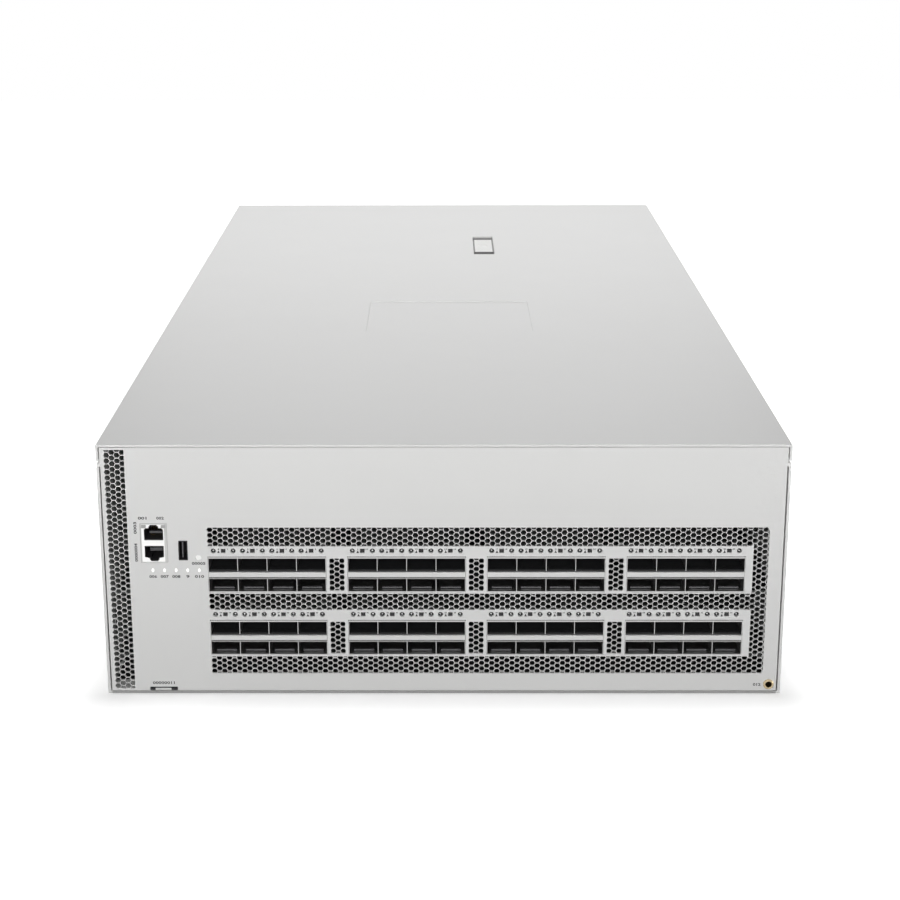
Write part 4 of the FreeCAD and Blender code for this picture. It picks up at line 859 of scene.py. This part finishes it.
# Zinc electroplate, clear passivated: cool grey and half bright, cloudy, with fine rolling lines
zinc = surface("clear_passivated_zinc_plate", ("#a9adb1", "#c3c6c9"), (0.34, 0.52), (14, 3), (0.12, 0.03),
               relief=(0.8, 2, 1, 0.02, 1), shader=METAL)
eased_copy("pull_out_tag", "asset_tag", light_grey, "asset_tag", 0.2)
finish(zinc, "tag_sleeve")
shape = bmesh.new()
for left, right, foot in ((tag_low.x, tag_low.x + GRIP_LEFT, tag_low.z),
                          (tag_high.x - GRIP_RIGHT, tag_high.x, tag_low.z),
                          (tag_low.x, tag_high.x, tag_high.z - GRIP_TOP)):
    block(shape, (left, tag_low.y - GRIP_PROUD, foot - GRIP_PROUD),
          (right, tag_low.y + GRIP_LONG, tag_high.z + GRIP_PROUD))
as_piece("tag_pull_grips", shape, black, "asset_tag")

# Floor trims: a strip of grey along the floor's front edge, drawn as rubber, is painted shadow under the
# plate's lower edge, and a black film on the floor behind the vents, drawn as glued insulation, is painted
# shade that keeps the vent holes dark.
SHEET = 1.8
TRIM = 0.3
TRIM_FOOT, TRIM_GAP = 0.1, 0.15
FILM = 0.3
FILM_GAP = 3
FILM_FRONT, FILM_BACK = 16, 240
# The strip's grey is painted shadow under the plate's edge
shape = bmesh.new()
block(shape, (panel_low.x, face - TRIM, TRIM_FOOT), (panel_high.x, face, panel_low.z - TRIM_GAP))
edge_strip_painted_shadow = grey_moulding("grey_strip_painted_edge_shadow", "#969695", "#a0a09f")
as_piece("floor_edge_shadow_strip", shape, edge_strip_painted_shadow, CHASSIS)
# The black film is painted shade behind the vents
shape = bmesh.new()
for left, right in ((panel_low.x, tag_low.x - FILM_GAP), (tag_high.x + FILM_GAP, panel_high.x)):
    block(shape, (left, face + FILM_FRONT, SHEET), (right, face + FILM_BACK, SHEET + FILM))
as_piece("black_film_painted_vent_shade", shape, black, CHASSIS)

# Earthing jack: a bush turned from brass bar, with a 4 mm bore, held by a hexagon nut behind the plate.
# The cut is bright and pale, with fine turning rings round the rim.
BORE = 2.05
RIM = 3.5
RIM_PROUD = 1
BARREL_RADIUS = 2.9
BARREL_LONG = 14
NUT = 4
NUT_THICK = 2.5


def turned_brass():
    """Brass bar, cut on a lathe: its own rings about the jack's axis make the relief."""
    material, tree, out = empty_material("turned_brass")
    place = add(tree, "TexCoord").outputs["Object"]
    from_axis = add(tree, "Mapping", {"Vector": place, "Location": (-ground_x * MM, 0, -ground_z * MM)})
    rings = add(tree, "TexWave", {"Vector": from_axis.outputs["Vector"], "Scale": metre_scale(6)},
                wave_type="RINGS", rings_direction="Y")
    wear = add(tree, "TexNoise", {"Vector": place, "Scale": metre_scale(2), "Detail": 2})
    tone = add(tree, "ValToRGB", {"Fac": wear.outputs["Fac"]})
    tone.color_ramp.elements[0].color = linear("#b3a27e")
    tone.color_ramp.elements[1].color = linear("#c4b596")
    bump = add(tree, "Bump", {"Height": rings.outputs["Fac"], "Strength": 0.15, "Distance": 0.02 * MM})
    metal = add(tree, "BsdfPrincipled", {"Base Color": tone.outputs["Color"], "Roughness": 0.3,
                                         "Normal": bump.outputs["Normal"]} | METAL)
    tree.links.new(metal.outputs[0], out.inputs["Surface"])
    return material


shape = bmesh.new()
turned(shape, ground_x, ground_z, [
    (BORE, face - RIM_PROUD + 0.3), (BORE + 0.3, face - RIM_PROUD), (RIM - 0.6, face - RIM_PROUD),
    (RIM, face - RIM_PROUD + 0.6), (RIM, face), (BARREL_RADIUS, face), (BARREL_RADIUS, face + BARREL_LONG),
    (BORE, face + BARREL_LONG)], 40)
plate(shape, round_hole(ground_x, ground_z, NUT, 6), [round_hole(ground_x, ground_z, BARREL_RADIUS, 40)],
      face + PLATE, face + PLATE + NUT_THICK)
as_piece("earthing_bush_and_nut", shape, turned_brass(), CHASSIS, ["ground_jack"], ease=0.08)

# Boards: glass and epoxy under a black solder mask, on black nylon standoffs. The finned sinks that cool
# their chips are extruded aluminium, brushed along the fins, and the chip is in black moulded epoxy.

# Black solder mask on epoxy glass: smooth and half glossy over faint tracks
board_black = surface("black_solder_mask_on_epoxy_glass", ("#0b0e0c", "#151a17"), 0.3, (5, 0), (0.1, 0.04),
                      kind="TexVoronoi", distance="MANHATTAN")
# Extruded aluminium, brushed: bright and pale, with lines along the fins
aluminium = surface("brushed_extruded_aluminium", ("#cfd1d3",), (0.28, 0.5), (0.7, 3, 1, 0.02, 1),
                    (0.15, 0.03), shader=METAL)
finish(board_black, "main_board", "upper_port_board", "control_board", "console_board", "fan_backplane",
       "power_backplane")
finish(aluminium, "switch_heat_sink", "control_heat_sink")
finish(black, "switch_chip", "board_standoffs")

# Rear wall, shelf and guides: a coated end plate with windows for four fan modules above and notches for
# four power supplies below. The shelf between them and the guides are zinc plated.
SCREW = 1.45
SCREW_RISE = 1.85
SCREW_HEAD = 0.9
SCREW_PLACES = (-205, -108.5, 0, 108.5, 205)
eased_copy("rear_wall", "rear_panel", paint, CHASSIS, CUT_EDGE)
finish(zinc, "bay_shelf", "bay_guides")
rear = mm_box("rear_panel")[1]
shape = bmesh.new()
head = rear.y + SCREW_HEAD
for x in SCREW_PLACES:
    turned(shape, x, rear.z - SCREW_RISE, [
        (0, head - 0.4), (0.5, head - 0.4), (0.55, head), (SCREW - 0.3, head), (SCREW, head - 0.4),
        (SCREW, rear.y), (0, rear.y)], 20)
as_piece("rear_wall_screws", shape, zinc, CHASSIS)

# Fan modules: each a black moulded duct with a guard, a motor on its back, a plug in front and a pull
# handle. Five swept blades turn on its spindle.
GUARD_REACH = 45.5
GUARD_TALL = 13
GUARD_PITCH = 17
GUARD_WEB = 2
MOTOR = 20
MOTOR_RIM = 21.5
SPINDLE = 2.5
SPINDLE_LONG = 24
SPINDLE_BORE = 2.56
GUARD_THICK = 1.5
MOTOR_MOUNT = 3.5
DUCT_BORE = 47
DUCT_HALF = 51
DUCT_FOOT, DUCT_ROOF = 1.7, 2.3
PLUG_LONG, PLUG_HALF, PLUG_TALL = 8, 12, 8
HANDLE_REACH = 28.2
HANDLE_OUT, HANDLE_IN = 42, 36
HANDLE_BAR = 6
HANDLE_TURN, HANDLE_INNER_TURN = 9, 3
LENS_REACH, LENS_DROP = 46, 5
BLADES = 5
BLADE_CHORD = 34
BLADE_PITCH = math.radians(42)
BLADE_TIP = 43.4
BLADE_ROOT = 19
BLADE_STEPS = 8
CHORD_STEPS = 10
HUB = 21


def flat(u, v, depth):
    """A point of a drawing that lies level, at a height."""
    return u, v, depth


def corner_arc(x, y, radius):
    turns = [math.radians(15 * k) for k in range(7)]
    return [(x + radius * math.cos(turn), y + radius * math.sin(turn)) for turn in turns]


def guard_slots(x, z):
    """Openings of the guard: level rows that end on the bore's circle and on the motor's."""
    slots = []
    for row in range(-2, 3):
        rises = [row * GUARD_PITCH + GUARD_TALL * (k / 8 - 0.5) for k in range(9)]
        outer = [(math.sqrt(GUARD_REACH ** 2 - rise ** 2), rise) for rise in rises]
        inner = [(max(GUARD_WEB, math.sqrt(max(0, MOTOR_RIM ** 2 - rise ** 2))), rise)
                 for rise in reversed(rises)]
        for side in (-1, 1):
            slots.append([(x + side * u, z + v) for u, v in outer + inner])
    return slots


def rim_of(grid):
    """The corners round the edge of a grid, in order."""
    return grid[0] + [row[-1] for row in grid[1:]] + grid[-1][-2::-1] + [row[0] for row in grid[-2:0:-1]]


def blade(shape, x, y, z, turn):
    """One blade: a twisted and slightly cambered sheet, thick in its middle and thin at its edges."""
    top, under = [], []
    for face_side, grid in ((1, top), (-1, under)):
        for i in range(BLADE_STEPS + 1):
            out_share = i / BLADE_STEPS
            radius = BLADE_ROOT + (BLADE_TIP - BLADE_ROOT) * out_share
            pitch = BLADE_PITCH - math.radians(5) * (out_share - 0.5)
            chord = BLADE_CHORD * (0.9 + 0.1 * out_share)
            row = []
            for k in range(CHORD_STEPS + 1):
                t = k / CHORD_STEPS - 0.5
                thick = 0.9 * (1 - (2 * t) ** 2) ** 0.5 + 0.05
                camber = 1.6 * (1 - (2 * t) ** 2) - 0.8
                painted_shadow_ramp = camber + face_side * thick
                along = t * chord
                tangent = -along * math.sin(pitch) + painted_shadow_ramp * math.cos(pitch)
                depth = along * math.cos(pitch) + painted_shadow_ramp * math.sin(pitch)
                angle = turn + tangent / radius
                row.append(shape.verts.new((x + radius * math.sin(angle), y + depth,
                                            z + radius * math.cos(angle))))
            grid.append(row)
        for a, b in zip(grid, grid[1:]):
            for k in range(CHORD_STEPS):
                shape.faces.new((a[k], a[k + 1], b[k + 1], b[k]))
    above, below = rim_of(top), rim_of(under)
    for k in range(len(above)):
        after = (k + 1) % len(above)
        shape.faces.new((above[k], above[after], below[after], below[k]))


# Green acrylic over a lamp: clear, polished and faintly lit
green_lens = surface("green_acrylic_lens", ("#4f9e5c", "#74c47f"), 0.15, (1, 2), shader={
    "IOR": 1.49, "Emission Color": linear("#74c47f"), "Emission Strength": 0.25})


def status_lens(name, body, x, z, back, long):
    """A domed green lens, 2.4 mm across, over a lamp of its module."""
    front = back - long
    shape = bmesh.new()
    turned(shape, x, z, [(0, back + 0.5), (0.9, back + 0.4), (1.2, back), (1.2, front), (0, front)], 20)
    as_piece(name, shape, green_lens, body)


for i in range(1, 5):
    module = f"fan_module_{i}"
    low, high = mm_box(f"fan_frame_{i}")
    rotor_low, rotor_high = mm_box(f"fan_rotor_{i}")
    x = (low.x + high.x) / 2
    face_back = high.y - HANDLE_REACH
    face_front = face_back - GUARD_THICK
    mount = face_back - MOTOR_MOUNT
    duct_front = low.y + PLUG_LONG
    duct_low, duct_high = low.z + DUCT_FOOT, high.z - DUCT_ROOF
    z = (duct_low + duct_high) / 2
    bore = round_hole(x, z, DUCT_BORE, 72)
    shape = bmesh.new()
    plate(shape, rectangle(x - DUCT_HALF, duct_low, x + DUCT_HALF, duct_high), [bore], duct_front, face_front)
    slots = guard_slots(x, z)
    plate(shape, rectangle(low.x, low.z, high.x, high.z), slots, face_front, face_back)
    plate(shape, bore, slots, mount, face_front)
    inner = corner_arc(x + HANDLE_IN - HANDLE_INNER_TURN, high.y - HANDLE_BAR - HANDLE_INNER_TURN,
                       HANDLE_INNER_TURN)
    outer = corner_arc(x + HANDLE_OUT - HANDLE_TURN, high.y - HANDLE_TURN, HANDLE_TURN)
    half = inner[::-1] + [(x + HANDLE_IN, face_back), (x + HANDLE_OUT, face_back)] + outer
    plate(shape, half + mirrored(half, x), [], duct_low + 0.3, duct_low + 0.3 + HANDLE_BAR, flat)
    as_piece(f"fan_duct_and_guard_{i}", shape, black, module, [f"fan_frame_{i}"], ease=0.4)
    shape = bmesh.new()
    motor_front = rotor_high.y + 0.3
    spindle_tip = motor_front - SPINDLE_LONG
    turned(shape, x, z, [(0, spindle_tip), (SPINDLE, spindle_tip), (SPINDLE, motor_front),
                         (MOTOR - 1, motor_front), (MOTOR, motor_front + 1), (MOTOR, mount), (0, mount)], 48)
    block(shape, (x - PLUG_HALF, low.y, duct_low), (x + PLUG_HALF, duct_front, duct_low + PLUG_TALL))
    as_piece(f"fan_motor_and_plug_{i}", shape, black, module, ease=0.3)
    status_lens(f"fan_status_lens_{i}", module, x + LENS_REACH, duct_high - LENS_DROP, face_back, GUARD_THICK)
    shape = bmesh.new()
    turned(shape, x, z, [(SPINDLE_BORE, rotor_low.y), (HUB - 5, rotor_low.y), (HUB - 1.5, rotor_low.y + 1.5),
                         (HUB, rotor_low.y + 5), (HUB, rotor_high.y), (SPINDLE_BORE, rotor_high.y)], 48)
    for k in range(BLADES):
        blade(shape, x, (rotor_low.y + rotor_high.y) / 2, z, 2 * math.pi * k / BLADES)
    as_piece(f"fan_blades_{i}", shape, black, f"fan_rotor_{i}", [f"fan_rotor_{i}"])

# Power supplies: closed zinc-plated cases with a black handle, a black mains inlet with three pins, air
# slots, a lamp, and a blue catch that slides towards the handle.
SUPPLY_EASE = 0.35
CATCH_EASE = 0.4
SUPPLY_REACH = 28.5
SUPPLY_PLUG = 7.9
INLET_ACROSS = 19.5
INLET_HALF = (13.4, 9.9)
INLET_MOUTH = ((-11.5, 4), (-8.5, 7), (8.5, 7), (11.5, 4), (11.5, -7), (-11.5, -7))
INLET_SUNK, INLET_DEEP, INLET_BACK = 0.2, 16, 18
PIN_PLACES = ((-7, -2), (7, -2), (0, 2))
PIN_TIP, PIN_ROOT = 3, 16.5
LENS_ACROSS, LENS_UP = 24.2, 12
# Nylon, moulded in a matt blue that marks what may be touched: faintly mottled where it is handled
blue = surface("blue_moulded_nylon", ("#33476b", "#405784"), 0.5, (3, 2), (0.15, 0.05), shader={"IOR": 1.53})
for i in range(1, 5):
    body = f"power_supply_{i}"
    low, high = mm_box(body)
    x = (low.x + high.x) / 2
    z = (low.z + high.z) / 2
    back = high.y - SUPPLY_REACH
    case = eased_copy(f"supply_case_{i}", body, zinc, body, SUPPLY_EASE)
    # The handle behind the case and the plug before it are black
    case.data.materials.append(black)
    for polygon in case.data.polygons:
        if polygon.center.y > (back + 0.05) * MM or polygon.center.y < (low.y + SUPPLY_PLUG) * MM:
            polygon.material_index = 1
    inlet_x = x - INLET_ACROSS
    inlet = window_at(inlet_x, z, INLET_HALF)
    (left, foot), (right, top) = inlet[0], inlet[2]
    mouth = [(inlet_x + u, z + v) for u, v in INLET_MOUTH]
    shape = bmesh.new()
    plate(shape, inlet, [mouth], back - INLET_DEEP, back - INLET_SUNK)
    block(shape, (left, back - INLET_BACK, foot), (right, back - INLET_DEEP, top))
    as_piece(f"mains_inlet_{i}", shape, black, body, ease=0.3)
    shape = bmesh.new()
    for across, rise in PIN_PLACES:
        block(shape, (inlet_x + across - 1, back - PIN_ROOT, z + rise - 2),
              (inlet_x + across + 1, back - PIN_TIP, z + rise + 2))
    as_piece(f"mains_inlet_pins_{i}", shape, nickel, body, ease=0.3)
    status_lens(f"supply_status_lens_{i}", body, x + LENS_ACROSS, z + LENS_UP, back, 1)
    catch = f"supply_release_{i}"
    eased_copy(f"release_thumb_piece_{i}", catch, blue, catch, CATCH_EASE)
